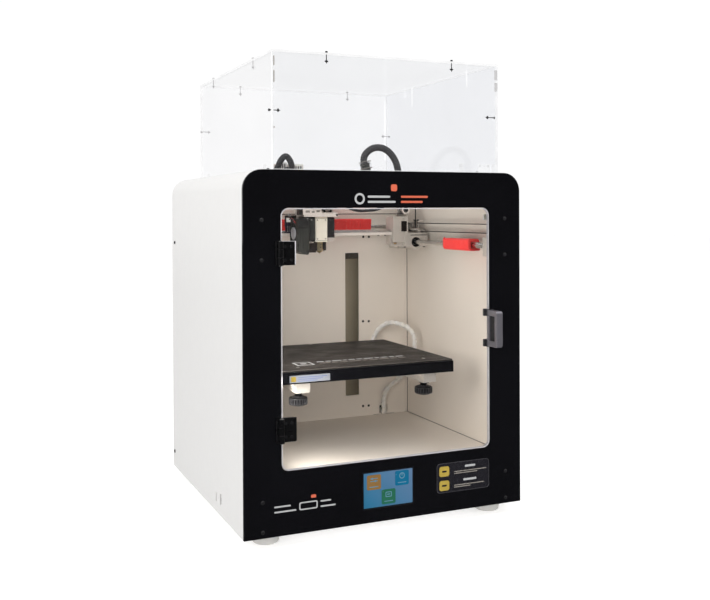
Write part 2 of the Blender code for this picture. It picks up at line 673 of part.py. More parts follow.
pivot("head_slide", HEAD_AT, "gantry_slide")
rail_channel = (RAIL_Y0 - RAIL_FIT, RAIL_Y1 + RAIL_FIT)
solid(
    "head_carriage", box(around(NOZZLE_X, 22), (237.5, 264.5), (377.3, 386.5)),
    ALU, HEAD_AT, "head_slide",
    add=(
        box((-48.0, 14.0), (232.6, 236.2), (364.0, 457.0)),  # upright plate
        box((-35.0, 8.0), (235.0, 239.0), (377.5, 385.0)),   # link from slider to plate
        box((-44.5, 11.0), (206.0, 234.0), (402.0, 406.7)),  # shelf
        box((-46.0, -15.0), (206.0, 221.0), (405.0, 414.4)), # block on the shelf
    ),
    cut=(box((-100, 100), rail_channel, (370, RAIL_Z1 + RAIL_FIT)),),
)
solid(
    "hotend_cover", box((-24.0, -4.0), (212.0, 232.3), (363.5, 401.7)),
    COVER, HEAD_AT, "head_slide",
)
nozzle = [(NOZZLE_TIP, 0.6), (CONE_TOP, 2.2), (CONE_TOP + STEP, 3.6), (363.2, 3.6)]
solid(
    "nozzle", lathe(nozzle, "z", (NOZZLE_X, NOZZLE_Y), 12),
    BRASS, (NOZZLE_X, NOZZLE_Y, NOZZLE_TIP), "head_slide",
)
# blower side view in x, z: straight sides, then a curved underside from right to left
duct = [(-57.8, 399.5), (-38.6, 399.5), (-38.6, 350.0), (-39.4, 346.2), (-41.0, 344.9)]
for t in (0.2, 0.4, 0.6, 0.8, 0.92, 1.0):
    duct.append((-41.0 - 16.8 * t, 344.9 + 2.2 * t + 4.6 * t * t * t))
solid(
    "blower_housing", prism(duct, "y", (199.0, 232.3)), PLASTIC, HEAD_AT, "head_slide",
    add=(box((-38.9, -28.0), (206.0, 232.3), (366.5, 399.5)),),
    cut=(cylinder("x", FAN_AXIS, (-60.0, -41.2), 14.6, 24),),
)
FAN_AT = (-50.0, *FAN_AXIS)
ROTOR_PROFILE = [                                    # x, radius
    (-58.8, 8.6), (-58.0, 9.4), (-44.0 - STEP, 9.4), (-44.0, 13.6), (-42.0, 13.6),
]
pivot("blower_axis", FAN_AT, "head_slide")
solid("blower_rotor", lathe(ROTOR_PROFILE, "x", FAN_AXIS, 20), PLASTIC, FAN_AT, "blower_axis")
solid(
    "extruder_motor",
    box(around(NOZZLE_X, MOTOR_HALF), (197.0, 220.0), (EXTRUDER_Z0, EXTRUDER_Z0 + MOTOR_W)),
    MOTOR, HEAD_AT, "head_slide",
    add=(rod("y", EXTRUDER_AXIS, (218.0, 231.8), MOTOR_SHAFT_R, 12),),
)
GEAR_AT = (NOZZLE_X, 226.0, EXTRUDER_AXIS[1])
GEAR_PROFILE = [(221.5, MOTOR_BORE_R), (221.5, 6.0), (231.5, 6.0), (231.5, MOTOR_BORE_R)]
pivot("extruder_axis", GEAR_AT, "head_slide")
solid(
    "extruder_gear", lathe(GEAR_PROFILE, "y", EXTRUDER_AXIS, 20, closed=True),
    STEEL, GEAR_AT, "extruder_axis",
)

# ---- transport clips: X over the drive shaft, Y on the rods ----------------
CLIP_OUTLINE = (                   # x on the right side, z; open towards the outside
    (151.0, 354.5), (153.5, 352.0), (168.0, 352.0), (170.0, 355.6), (155.6, 355.6),
    (155.6, 364.5), (170.0, 364.5), (168.0, 369.2), (153.5, 369.2), (151.0, 366.9),
)
for side, sign in SIDES:
    at = (sign * 70.0, *SHAFT_AXIS)
    x0, x1 = mirror(sign, 38.0, 102.4)
    pivot(f"clip_x_{side}_slide", at)
    solid(
        f"transport_clip_x_{side}", box((x0, x1), (284.0, 300.0), (380.2, 397.8)),
        RED, at, f"clip_x_{side}_slide",
        cut=(box((x0 - 5, x1 + 5), around(SHAFT_Y, 4.3), (370.0, SHAFT_Z + 4.5)),),
    )
    at = (sign * ROD_X, 99.75, ROD_Z)
    outline = [(sign * x, z) for x, z in CLIP_OUTLINE]
    pivot(f"clip_y_{side}_slide", at)
    solid(
        f"transport_clip_y_{side}", prism(outline, "y", (53.5, 128.5)),
        RED, at, f"clip_y_{side}_slide",
    )

# ---- power inlet and its rocker --------------------------------------------
pocket_x = around(INLET_X, 14)
pocket_back = CASE_D + 10
solid(
    "power_inlet", box(around(INLET_X, 27), (CASE_D + GAP, CASE_D + 2.5), around(INLET_Z, 34)),
    PLASTIC, (INLET_X, CASE_D, INLET_Z),
    add=(
        box(around(INLET_X, INLET_HALF_W), (372.0, CASE_D + 1.0), around(INLET_Z, INLET_HALF_H)),
    ),
    cut=(
        box(pocket_x, (380.0, pocket_back), (27.0, 47.0)),
        box(pocket_x, (383.0, pocket_back), (57.5, 78.5)),
    ),
)
ROCKER_AT = (INLET_X, 391.0, 68.0)
ROCKER_OUTLINE = [                                   # y, z
    (388.0, 60.0), (396.5, 59.2), (ROCKER_Y, 61.0), (ROCKER_Y - 1.2, 68.0),
    (ROCKER_Y, 75.0), (396.5, 76.8), (388.0, 76.0),
]
pivot("power_rocker_axis", ROCKER_AT)
solid(
    "power_rocker", prism(ROCKER_OUTLINE, "x", around(INLET_X, 13.4)),
    PLASTIC, ROCKER_AT, "power_rocker_axis",
)
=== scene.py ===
"""Looks of the enclosed desktop filament printer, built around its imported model.

Layout millimetres, as in the CAD: x from the centre plane (positive to the right),
y from the front panel's face towards the back, z from the panel's lower edge.
in_frame() takes them to metres in the model's frame.

A piece is a generator of (material key, shape) pairs. @piece builds it where it
stands, as one object that bears the function's name.
"""

import math
import random

import bmesh
import bpy
from mathutils import Matrix, Vector

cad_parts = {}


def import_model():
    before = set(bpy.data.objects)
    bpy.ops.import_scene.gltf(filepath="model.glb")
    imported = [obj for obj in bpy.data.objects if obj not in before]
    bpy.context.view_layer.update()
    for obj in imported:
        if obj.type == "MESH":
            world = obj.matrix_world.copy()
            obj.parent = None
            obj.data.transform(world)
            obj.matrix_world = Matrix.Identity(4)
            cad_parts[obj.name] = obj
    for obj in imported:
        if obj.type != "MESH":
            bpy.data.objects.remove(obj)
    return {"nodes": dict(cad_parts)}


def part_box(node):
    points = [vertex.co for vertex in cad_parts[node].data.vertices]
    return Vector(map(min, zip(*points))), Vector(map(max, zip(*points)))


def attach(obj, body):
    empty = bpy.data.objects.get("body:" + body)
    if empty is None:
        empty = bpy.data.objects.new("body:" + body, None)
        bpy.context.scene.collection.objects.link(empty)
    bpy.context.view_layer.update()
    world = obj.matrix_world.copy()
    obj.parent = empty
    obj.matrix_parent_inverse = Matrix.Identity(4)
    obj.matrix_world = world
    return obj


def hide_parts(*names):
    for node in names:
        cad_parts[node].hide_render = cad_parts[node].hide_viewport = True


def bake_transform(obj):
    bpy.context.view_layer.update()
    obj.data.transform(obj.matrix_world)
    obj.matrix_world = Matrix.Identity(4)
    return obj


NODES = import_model()["nodes"]
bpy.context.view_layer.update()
PANEL_LO, PANEL_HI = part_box("front_panel")
ORIGIN = Vector(((PANEL_LO.x + PANEL_HI.x) / 2, PANEL_LO.y, PANEL_LO.z))
SIDES = (("left", -1), ("right", 1))


def in_frame(x, y, z):
    """Layout millimetres to the model's frame in metres."""
    return ORIGIN + Vector((x, y, z)) * 0.001


# ---- driving dimensions, layout millimetres -----------------------------------
CASE_SIDE, CASE_TOP, CASE_BACK = 202.5, 462.7, 393.5
CHAMBER_BACK, CHAMBER_SIDE, CHAMBER_FLOOR = 322, 187, 66
SLOT_X, SLOT_HALF = 84, 12  # the two upright slots in the chamber's back
# rectangles on the front: left, right, low, high
SCREEN = (-40.4, 33.2, 18.4, 66.2)
INFO_PLATE = (68.5, 151.3, 25.7, 66.5)
DOOR, DOOR_CORNER = (-152.2, 151.8, 81.8, 413.4), 9.7
HOOD_LEFT, HOOD_RIGHT, HOOD_FRONT, HOOD_BACK = -162.5, 169.5, 3, 365.7
HOOD_BASE, HOOD_TOP, SHEET = 463, 614.5, 3
BED_HALF, BED_FRONT, BED_BACK, BED_TOP = 134.4, 67.2, 305, 195.3
KNOBS = (("front_left", -97, 91.5), ("front_right", 97, 91.5), ("rear", 0, 298))
ROD_X, ROD_Y = 60, 352  # upright rods; the lead screw is midway between them
SHAFT_Y, SHAFT_Z = 292, 384  # the Y drive shaft, along x
FRONT_IDLER_Y, Y_MOTOR_Y = 19.5, 350
Y_BELT_X, Y_MOTOR_BELT_X = 174.5, -119
Y_ROD_X, Y_ROD_Z = 160, 360.2
X_BELT_Y, X_BELT_Z = 239.5, 412.5
X_MOTOR_X, X_IDLER_X = -148, 141.3
BLOWER_Y, BLOWER_Z = 216, 377.2
GEAR_X, GEAR_Z = -13.5, 436.15  # filament drive gear, along y
PULLEY_RADIUS = 6.37
REAR_FAN_X, REAR_FAN_Z = -76, 45

# screw sizes: radius, head height, key radius
CASE_BUTTON = (2.7, 1.5, 1.15)
SMALL_CAP = (1.7, 1.4, 0.85)
MEDIUM_CAP = (1.9, 1.5, 0.95)


# ---- shader helpers -------------------------------------------------------------
def node(tree, kind, inputs=None, **settings):
    """A shader node with its settings; inputs maps sockets to values or outputs."""
    made = tree.nodes.new("ShaderNode" + kind)
    for key, value in settings.items():
        setattr(made, key, value)
    for key, value in (inputs or {}).items():
        socket = made.inputs[key]
        if isinstance(value, bpy.types.NodeSocket):
            tree.links.new(value, socket)
        elif isinstance(value, tuple) and socket.type == "RGBA":
            socket.default_value = (*value, 1)
        else:
            socket.default_value = value
    return made


def blank_material(name):
    made = bpy.data.materials.new(name)
    made.use_nodes = True
    made.node_tree.nodes.clear()
    return made, made.node_tree


def coords(tree, stretch=(1, 1, 1)):
    where = node(tree, "TexCoord")
    return node(tree, "Mapping", {"Scale": stretch, "Vector": where.outputs["Object"]}).outputs[0]


def noise(tree, vector, scale, detail=3, rough=0.55):
    inputs = {"Scale": scale, "Detail": detail, "Roughness": rough, "Vector": vector}
    return node(tree, "TexNoise", inputs).outputs["Fac"]


def remap(tree, value, span, to):
    """Carries the range span to the range to, clamped."""
    inputs = {"Value": value, "From Min": span[0], "From Max": span[1],
              "To Min": to[0], "To Max": to[1]}
    return node(tree, "MapRange", inputs, clamp=True).outputs["Result"]


def maths(tree, operation, *values):
    return node(tree, "Math", dict(enumerate(values)), operation=operation).outputs[0]


def mix_rgb(tree, factor, first, second):
    # sockets 6 and 7 are the node's colour pair
    inputs = {0: factor, 6: first, 7: second}
    return node(tree, "Mix", inputs, data_type="RGBA", blend_type="MIX").outputs[2]


def split_xyz(tree, vector):
    return node(tree, "SeparateXYZ", {0: vector}).outputs


def mix_shader(tree, factor, first, second):
    return node(tree, "MixShader", {0: factor, 1: first, 2: second}).outputs[0]


def finish(name, rgb=(0, 0, 0), rough=0.5, metal=0, drift=0.04, drift_scale=60, rough_drift=0.08,
           rough_scale=160, bump=20, bump_scale=900, stretch=(1, 1, 1), coat=0, glow=0, edge_wear_and_highlight=None,
           edge_wear_and_highlight_width=600, specular=0.5, scatter=0, rounding=400, specks=None, grime=0, color=None):
    """A Principled surface with tone and roughness drift, relief and softened edges.

    bump, rounding and the width of the edge colour are in micrometres. The edge colour, laid on
    rounded edges, is partly wear and partly a painted edge highlight, specks is (noise scale,
    threshold, colour), and color(tree) may stand in for rgb.
    """
    made, tree = blank_material(name)
    stretched = coords(tree, stretch)
    plain = coords(tree)
    tone = remap(tree, noise(tree, plain, drift_scale, 4), (0.3, 0.7), (1 - drift, 1 + drift))
    paint = color(tree) if color else rgb
    base = node(tree, "HueSaturation", {"Color": paint, "Value": tone}).outputs[0]
    if specks:
        scale, threshold, speck_rgb = specks
        dots = remap(tree, noise(tree, plain, scale, 1), (threshold, threshold + 0.03), (0, 1))
        base = mix_rgb(tree, dots, base, speck_rgb)
    # lighter rounded edges, found from the bevelled normal: partly wear, partly a painted edge
    # highlight
    if edge_wear_and_highlight:
        bevel = node(tree, "Bevel", {"Radius": edge_wear_and_highlight_width / 1e6}, samples=4)
        true_normal = node(tree, "NewGeometry").outputs["Normal"]
        dot = node(tree, "VectorMath", {0: bevel.outputs[0], 1: true_normal},
                   operation="DOT_PRODUCT")
        edge_wear_and_highlight_mask = remap(tree, dot.outputs["Value"], (0.995, 0.90), (0, 1))
        patches = remap(tree, noise(tree, plain, 120, 4), (0.35, 0.65), (0.4, 1))
        base = mix_rgb(tree, maths(tree, "MULTIPLY", edge_wear_and_highlight_mask, patches), base, edge_wear_and_highlight)
    if grime:
        dirt = remap(tree, noise(tree, plain, 14, 6, 0.65), (0.45, 0.8), (0, 1))
        base = mix_rgb(tree, maths(tree, "MULTIPLY", dirt, grime), base, (0.35, 0.32, 0.28))
    rough_range = (max(0.02, rough - rough_drift), min(1, rough + rough_drift))
    inputs = {
        "Base Color": base,
        "Roughness": remap(tree, noise(tree, stretched, rough_scale), (0.3, 0.7), rough_range),
        "Metallic": metal,
        "Specular IOR Level": specular,
        "Coat Weight": coat,
        "Coat Roughness": 0.08,
    }
    if scatter:
        inputs["Subsurface Weight"] = scatter
        inputs["Subsurface Radius"] = (0.004, 0.003, 0.002)
        inputs["Subsurface Scale"] = 1
    if glow:
        inputs["Emission Color"] = base
        inputs["Emission Strength"] = glow
    height = noise(tree, stretched, bump_scale)
    relief = {"Strength": 1, "Distance": bump / 1e6, "Height": height}
    if rounding:
        relief["Normal"] = node(tree, "Bevel", {"Radius": rounding / 1e6}, samples=4).outputs[0]
    inputs["Normal"] = node(tree, "Bump", relief).outputs[0]
    surface = node(tree, "BsdfPrincipled", inputs)
    node(tree, "OutputMaterial", {0: surface.outputs[0]})
    return made


def acrylic(name, tint, haze, gloss, dust):
    """Clear sheet: see-through and mirror by Fresnel, with a faint bloom of dust."""
    made, tree = blank_material(name)
    at = coords(tree)
    drift = remap(tree, noise(tree, at, 7), (0.3, 0.7), (0.985, 1))
    tone = node(tree, "HueSaturation", {"Color": tint, "Value": drift}).outputs[0]
    see = node(tree, "BsdfTransparent", {"Color": tone}).outputs[0]
    smear = remap(tree, noise(tree, at, 30, 5), (0.3, 0.7), (0.01, 0.05))
    wave = {"Distance": 0.00012, "Strength": 0.6, "Height": noise(tree, at, 9, 2)}
    relief = node(tree, "Bump", wave).outputs[0]
    mirror = {"Color": (1, 1, 1), "Roughness": smear, "Normal": relief}
    shine = node(tree, "BsdfGlossy", mirror).outputs[0]
    fresnel = node(tree, "Fresnel", {"IOR": 1.45}).outputs[0]
    glass = mix_shader(tree, maths(tree, "MULTIPLY", fresnel, gloss), see, shine)
    powder = node(tree, "BsdfDiffuse", {"Color": (0.9, 0.9, 0.92)}).outputs[0]
    film = remap(tree, noise(tree, at, 55, 6, 0.7), (0.42, 0.8), (haze, haze + dust))
    node(tree, "OutputMaterial", {0: mix_shader(tree, film, glass, powder)})
    return made


def braid(name, dark, light, weave):
    """A woven sleeve: two families of slanting strands, weave setting how fine they are."""
    made, tree = blank_material(name)
    around, along = split_xyz(tree, node(tree, "UVMap").outputs[0])[:2]
    waves = []
    for slant in (weave, -weave):
        turned_by = maths(tree, "MULTIPLY", around, weave)
        phase = maths(tree, "ADD", turned_by, maths(tree, "MULTIPLY", along, slant))
        waves.append(maths(tree, "ABSOLUTE", maths(tree, "SINE", phase)))
    height = maths(tree, "MAXIMUM", *waves)
    tone = remap(tree, height, (0.5, 1), (0, 1))
    drift = remap(tree, noise(tree, coords(tree), 90), (0.3, 0.7), (0.8, 1.2))
    thread_rgb = mix_rgb(tree, tone, dark, light)
    base = node(tree, "HueSaturation", {"Color": thread_rgb, "Value": drift}).outputs[0]
    relief = node(tree, "Bump", {"Distance": 0.0003, "Height": height}).outputs[0]
    surface = node(tree, "BsdfPrincipled",
                   {"Base Color": base, "Roughness": 0.62, "Normal": relief})
    node(tree, "OutputMaterial", {0: surface.outputs[0]})
    return made


def painted_glow_edge(name, glow, clear):
    """A sheet edge with a painted highlight: part see-through, part its own soft white glow."""
    made, tree = blank_material(name)
    see = node(tree, "BsdfTransparent").outputs[0]
    drift = remap(tree, noise(tree, coords(tree), 40, 4), (0.35, 0.65), (glow * 0.93, glow * 1.04))
    lit = node(tree, "Emission", {"Strength": drift}).outputs[0]
    node(tree, "OutputMaterial", {0: mix_shader(tree, 1 - clear, see, lit)})
    return made


def olive(tree):
    """The rear compartment seen through a slot, with painted shade darkening it from left to right.
    """
    where_x = split_xyz(tree, node(tree, "TexCoord").outputs["Object"])[0]
    across = []
    for middle in (-SLOT_X, SLOT_X):
        edges = [in_frame(middle + half, 0, 0).x for half in (-SLOT_HALF, SLOT_HALF)]
        across.append(remap(tree, where_x, edges, (0, 1)))
    right = maths(tree, "GREATER_THAN", where_x, ORIGIN.x)
    right_part = maths(tree, "MULTIPLY", across[1], right)
    left = maths(tree, "SUBTRACT", 1, right)
    picked = maths(tree, "ADD", right_part, maths(tree, "MULTIPLY", across[0], left))
    return mix_rgb(tree, picked, (0.235, 0.205, 0.148), (0.104, 0.093, 0.064))


def display_color(tree):
    """A slanting blue gradient over the screen."""
    where = split_xyz(tree, node(tree, "TexCoord").outputs["Object"])
    low = in_frame(SCREEN[0], 0, SCREEN[2])
    high = in_frame(SCREEN[1], 0, SCREEN[3])
    across = remap(tree, where[0], (low.x, high.x), (0, 1))
    up = remap(tree, where[2], (low.z, high.z), (0, 1))
    across_part = maths(tree, "MULTIPLY", across, 0.6)
    both = maths(tree, "ADD", across_part, maths(tree, "MULTIPLY", up, 0.4))
    return mix_rgb(tree, both, (0.012, 0.125, 0.235), (0.085, 0.155, 0.27))


# ---- materials --------------------------------------------------------------------
MATERIALS = {
    # case, chamber and clear sheets
    "white": finish("white_powder_coat", (0.765, 0.763, 0.760), rough=0.42, drift=0.008,
                    rough_drift=0.05, bump=30, bump_scale=1100, specular=0.45, rounding=600),
    # chamber liner: partly its own warm white, partly painted warm light from the chamber's lighting
    "liner": finish("chamber_white_with_painted_warm_light", (0.78, 0.725, 0.655), rough=0.5, drift=0.02,
                    drift_scale=9, rough_drift=0.06, bump=30, bump_scale=1000, rounding=600),
    "gloss": finish("black_gloss_acrylic", (0.003, 0.003, 0.004), rough=0.07, drift=0.15,
                    drift_scale=10, rough_drift=0.03, rough_scale=24, bump=40, bump_scale=6,
                    coat=0.15, edge_wear_and_highlight=(0.03, 0.03, 0.036), rounding=800, specular=0.42),
    # one clear acrylic in copies: the front and right copies are tinted darker, painted shade, and
    # the top copy is clearer and reflects less, painted light
    "clear": acrylic("clear_acrylic", tint=(0.996, 0.996, 0.998),
                     haze=0.004, gloss=0.12, dust=0.006),
    "clear_front": acrylic("clear_acrylic_front_painted_shade", tint=(0.967, 0.970, 0.976),
                           haze=0.008, gloss=0.18, dust=0.010),
    "clear_top": acrylic("clear_acrylic_top_painted_light", tint=(0.998, 0.998, 0.999),
                         haze=0.003, gloss=0.03, dust=0.004),
    "clear_right": acrylic("clear_acrylic_right_painted_shade", tint=(0.975, 0.977, 0.984),
                           haze=0.006, gloss=0.07, dust=0.008),
    "door_clear": acrylic("door_acrylic", tint=(0.990, 0.990, 0.993),
                          haze=0.0008, gloss=0.55, dust=0.0025),
    # a painted highlight for the bright lines along polished sheet edges
    "rim": finish("polished_edge_painted_highlight", (0.56, 0.55, 0.58), rough=0.16, drift=0.1, drift_scale=45,
                  rough_drift=0.06, bump=30, bump_scale=240, coat=0.5, glow=0.06, rounding=0),
    # painted highlights: sheet edges that glow, the second brighter, for glints
    "hood_edge_painted_glow": painted_glow_edge("clear_sheet_edge_painted_glow", glow=0.98, clear=0.35),
    "hood_painted_glint": painted_glow_edge("sheet_edge_painted_glint", glow=1.12, clear=0.08),
    "rubber": finish("pale_rubber", (0.60, 0.595, 0.58), rough=0.62, drift=0.03, bump=60,
                     bump_scale=1400, scatter=0.1, grime=0.15),
    "knob": finish("knob_black", (0.0045, 0.0045, 0.0052), rough=0.42, drift=0.12, bump=40,
                   bump_scale=1600, specular=0.2),
    "faint": finish("overexposed_zinc", (0.50, 0.50, 0.51), drift=0.05, rounding=0),
    "seam": finish("seam_shadow", (0.07, 0.064, 0.058), rough=0.7, drift=0.1, rounding=0),
    # metals
    "steel": finish("ground_steel", (0.76, 0.75, 0.73), rough=0.24, metal=1, drift=0.03,
                    rough_drift=0.05, stretch=(6, 0.4, 6), rough_scale=260, bump=4,
                    bump_scale=800, rounding=300),
    "shaft": finish("turned_steel", (0.62, 0.61, 0.60), rough=0.24, metal=1, drift=0.03,
                    rough_drift=0.07, stretch=(9, 1, 1), rough_scale=260, bump=6,
                    bump_scale=700, rounding=300),
    "alu": finish("pale_anodised", (0.60, 0.565, 0.515), rough=0.44, metal=0.35, bump=30,
                  bump_scale=1500, edge_wear_and_highlight=(0.78, 0.75, 0.70), edge_wear_and_highlight_width=500, rounding=500),
    "alu_white": finish("white_coated_bracket", (0.70, 0.64, 0.59), rough=0.42, drift=0.02,
                        bump=30, bump_scale=1200, rounding=500),
    "alu_raw": finish("milled_aluminium", (0.74, 0.735, 0.72), rough=0.30, metal=0.95,
                      rough_drift=0.1, stretch=(30, 3, 3), rough_scale=60, bump=10,
                      bump_scale=260, rounding=300),
    "handle": finish("grey_anodised_handle", (0.33, 0.32, 0.36), rough=0.34, metal=0.75,
                     drift=0.05, stretch=(4, 4, 40), rough_scale=40, bump=10, bump_scale=300,
                     edge_wear_and_highlight=(0.70, 0.69, 0.74), rounding=600),
    # plastics
    "plastic": finish("black_plastic", (0.020, 0.020, 0.022), rough=0.42, drift=0.1,
                      rough_drift=0.1, bump=50, bump_scale=1800, edge_wear_and_highlight=(0.09, 0.09, 0.10),
                      edge_wear_and_highlight_width=500, rounding=500),
    "grey_plastic": finish("charcoal_plastic", (0.034, 0.036, 0.032), rough=0.46, drift=0.14,
                           rough_drift=0.1, bump=50, bump_scale=1600, edge_wear_and_highlight=(0.13, 0.13, 0.12),
                           edge_wear_and_highlight_width=500, rounding=500),
    "brown_plastic": finish("dark_brown_plastic", (0.030, 0.022, 0.019), drift=0.15,
                            rough_drift=0.1, bump=50, bump_scale=1600),
    "hinge": finish("black_zinc_hinge", (0.0035, 0.0035, 0.0042), rough=0.32, metal=0.1,
                    drift=0.12, rough_drift=0.1, bump=30, bump_scale=1400,
                    edge_wear_and_highlight=(0.030, 0.030, 0.034), edge_wear_and_highlight_width=400, rounding=500, specular=0.4),
    # bed and head
    "bed_black": finish("black_bed_edge", (0.0035, 0.0035, 0.0055), rough=0.4, drift=0.1, bump=40,
                        edge_wear_and_highlight=(0.05, 0.05, 0.055), edge_wear_and_highlight_width=400, specular=0.14),
    "bed_top": finish("textured_build_surface", (0.021, 0.0178, 0.0158), rough=0.58, drift=0.1,
                      drift_scale=18, rough_drift=0.1, rough_scale=40, bump=60, bump_scale=2200,
                      specks=(1500, 0.64, (0.055, 0.05, 0.045)), edge_wear_and_highlight=(0.36, 0.33, 0.30),
                      specular=0.28),
    "brass": finish("brass", (0.66, 0.50, 0.25), rough=0.28, metal=1, drift=0.06, rough_drift=0.1,
                    stretch=(1, 1, 8), bump=8, bump_scale=600, rounding=300),
    "heat_brass": finish("nickel_brass", (0.63, 0.54, 0.36), rough=0.34, metal=0.85, drift=0.05,
                         rough_drift=0.1, bump=10, bump_scale=600, rounding=300),
    "red": finish("red_clip_plastic", (0.92, 0.055, 0.052), drift=0.05, bump=60,
                  stretch=(1, 1, 3), edge_wear_and_highlight=(0.95, 0.16, 0.14), edge_wear_and_highlight_width=700, scatter=0.15,
                  rounding=600),
    # the clip's red darkened, painted shade for the shaded tip under each Y clip
    "red_painted_shade": finish("red_clip_plastic_painted_shade", (0.84, 0.050, 0.055), drift=0.05, bump=60,
                       stretch=(1, 1, 3), edge_wear_and_highlight=(0.80, 0.12, 0.12), edge_wear_and_highlight_width=700, scatter=0.1,
                       rounding=600),
    "motor": finish("black_motor_steel", (0.022, 0.022, 0.024), rough=0.38, metal=0.4, drift=0.1,
                    stretch=(1, 1, 12), bump_scale=500),
    "cover": finish("hot_end_sleeve", (0.74, 0.70, 0.60), rough=0.62, drift=0.03, drift_scale=120,
                    rough_drift=0.06, bump=100, bump_scale=1200, scatter=0.12, rounding=800),
    "screw": finish("zinc_screw", (0.60, 0.60, 0.58), rough=0.28, metal=1, drift=0.05,
                    rough_drift=0.1, bump=10, rounding=0),
    "screw_black": finish("black_oxide_screw", (0.035, 0.035, 0.038), rough=0.34, metal=0.6,
                          drift=0.08, rough_drift=0.1, rounding=0),
    "belt": finish("belt_rubber", (0.030, 0.027, 0.025), rough=0.6, drift=0.08, bump=40,
                   bump_scale=1600, rounding=0),
    "nylon": finish("white_nylon", (0.80, 0.79, 0.76), rough=0.4, drift=0.03, bump=30,
                    bump_scale=1200, scatter=0.2, rounding=300),
    "spiral": finish("white_spiral_wrap", (0.80, 0.775, 0.73), rough=0.38, bump=40, scatter=0.25,
                     rounding=0),
    # electronics
    "pcb": finish("green_circuit_board", (0.012, 0.075, 0.045), rough=0.30, drift=0.25,
                  drift_scale=300, bump=40, bump_scale=700, coat=0.4,
                  specks=(700, 0.60, (0.05, 0.13, 0.09)), rounding=200),
    "pcb_dark": finish("dark_circuit_board", (0.020, 0.016, 0.030), rough=0.32, drift=0.25,
                       drift_scale=300, bump=40, bump_scale=700, coat=0.4,
                       specks=(700, 0.62, (0.09, 0.08, 0.11)), rounding=200),
    "chip": finish("chip_epoxy", (0.016, 0.016, 0.017), rough=0.45, drift=0.1, bump=30,
                   bump_scale=1500, rounding=200),
    "galv": finish("galvanised_sheet", (0.60, 0.61, 0.61), rough=0.34, metal=0.9, drift=0.1,
                   drift_scale=120, rough_drift=0.12, rough_scale=90, bump=10, bump_scale=300,
                   rounding=300),
    # prints and films
    "print": finish("printed_light_grey", (0.40, 0.41, 0.42), rough=0.45, drift=0.05, bump=10,
                    rounding=0),
    "print_orange": finish("printed_orange", (0.60, 0.115, 0.055), rough=0.45, drift=0.05,
                           bump=10, rounding=0),
    "print_amber": finish("printed_amber", (0.40, 0.29, 0.035), rough=0.45, drift=0.1, bump=10,
                          rounding=0),
    "plate": finish("info_plate_film", (0.0125, 0.0120, 0.0165), rough=0.26, drift=0.1,
                    rough_drift=0.06, bump_scale=1200, rounding=0),
    "label": finish("pale_label_film", (0.28, 0.30, 0.34), rough=0.40, drift=0.03,
                    rough_drift=0.06, bump_scale=800, rounding=0),
    "hub": finish("hub_sticker_silver", (0.44, 0.45, 0.49), rough=0.35, metal=0.2,
                  rough_drift=0.06, bump_scale=800, rounding=0),
    "label_ink": finish("label_ink_blue", (0.16, 0.20, 0.36), drift=0.08, rounding=0),
    "scuff": finish("scuffed_print", (0.26, 0.24, 0.215), rough=0.55, drift=0.25,
                    drift_scale=220, rough_drift=0.1, bump=40, bump_scale=1500, rounding=0),
    # painted shadow: the dark strip across the top of each slot, with a brush-like texture
    "slot_top_painted_shadow": finish("slot_top_painted_shadow_strip", (0.045, 0.040, 0.032), rough=0.85, drift=0.35,
                        drift_scale=500, stretch=(900, 1, 40), bump=200, bump_scale=12,
                        rounding=0),
    "led": finish("led_diffuser", (0.90, 0.86, 0.76), drift=0.03, glow=0.35, rounding=0),
    # cables
    "wire_red": finish("wire_red", (0.45, 0.02, 0.02), rough=0.4, rounding=0),
    "wire_black": finish("wire_black", (0.014, 0.014, 0.015), rough=0.42, rounding=0),
    "wire_white": finish("wire_white", (0.72, 0.70, 0.66), rough=0.42, rounding=0),
    "wire_blue": finish("wire_blue", (0.03, 0.07, 0.36), rough=0.42, rounding=0),
    "wire_yellow": finish("wire_yellow", (0.62, 0.45, 0.03), rough=0.42, rounding=0),
    "sleeve": braid("braided_sleeve", dark=(0.010, 0.010, 0.012), light=(0.060, 0.060, 0.066),
                    weave=260),
    # slot backs and screen
    # the slots' backs, with painted shade across each slot
    "slot_back_with_painted_shade": finish("slot_back_olive_with_painted_shade", rough=0.8, drift=0.06, drift_scale=30, bump=40,
                         bump_scale=700, rounding=0, color=olive),
    "film_border": finish("film_border", (0.045, 0.044, 0.050), rough=0.45, drift=0.1, rounding=0),
    "display": finish("menu_background", rough=0.18, drift=0.03, drift_scale=12,
                      rough_drift=0.04, bump=4, glow=0.1, rounding=0, coat=0.4,
                      color=display_color),
    "icon": finish("menu_icon", (0.08, 0.20, 0.28), rough=0.2, drift=0.03, glow=0.1, rounding=0),
}
for hue, tile_rgb in (("orange", (0.20, 0.110, 0.034)), ("blue", (0.002, 0.105, 0.21)),
                      ("green", (0.014, 0.105, 0.060))):
    MATERIALS["tile_" + hue] = finish("menu_tile_" + hue, tile_rgb, rough=0.2, drift=0.06,
                                      drift_scale=40, glow=0.1, rounding=0)


# ---- shapes, each a bmesh in layout millimetres -------------------------------------
# Where a shape has a pair of limits along its axis, or x0 and x1, either may come first,
# so that one line serves both sides.
def on_axis(axis, across, up, along):
    """A point from its two places across the axis and its place along it."""
    if axis == "x":
        return (along, across, up)
    if axis == "y":
        return (across, along, up)
    return (across, up, along)


def soften(shape, radius, segments=2, angle=30):
    """Rounds every edge sharper than the angle."""
    if radius <= 0:
        return shape
    bmesh.ops.recalc_face_normals(shape, faces=shape.faces[:])
    limit = math.radians(angle)
    sharp = [e for e in shape.edges if len(e.link_faces) == 2 and e.calc_face_angle(0.0) > limit]
    bmesh.ops.bevel(shape, geom=sharp, offset=radius, segments=segments, profile=0.6,
                    affect="EDGES", clamp_overlap=True)
    return shape


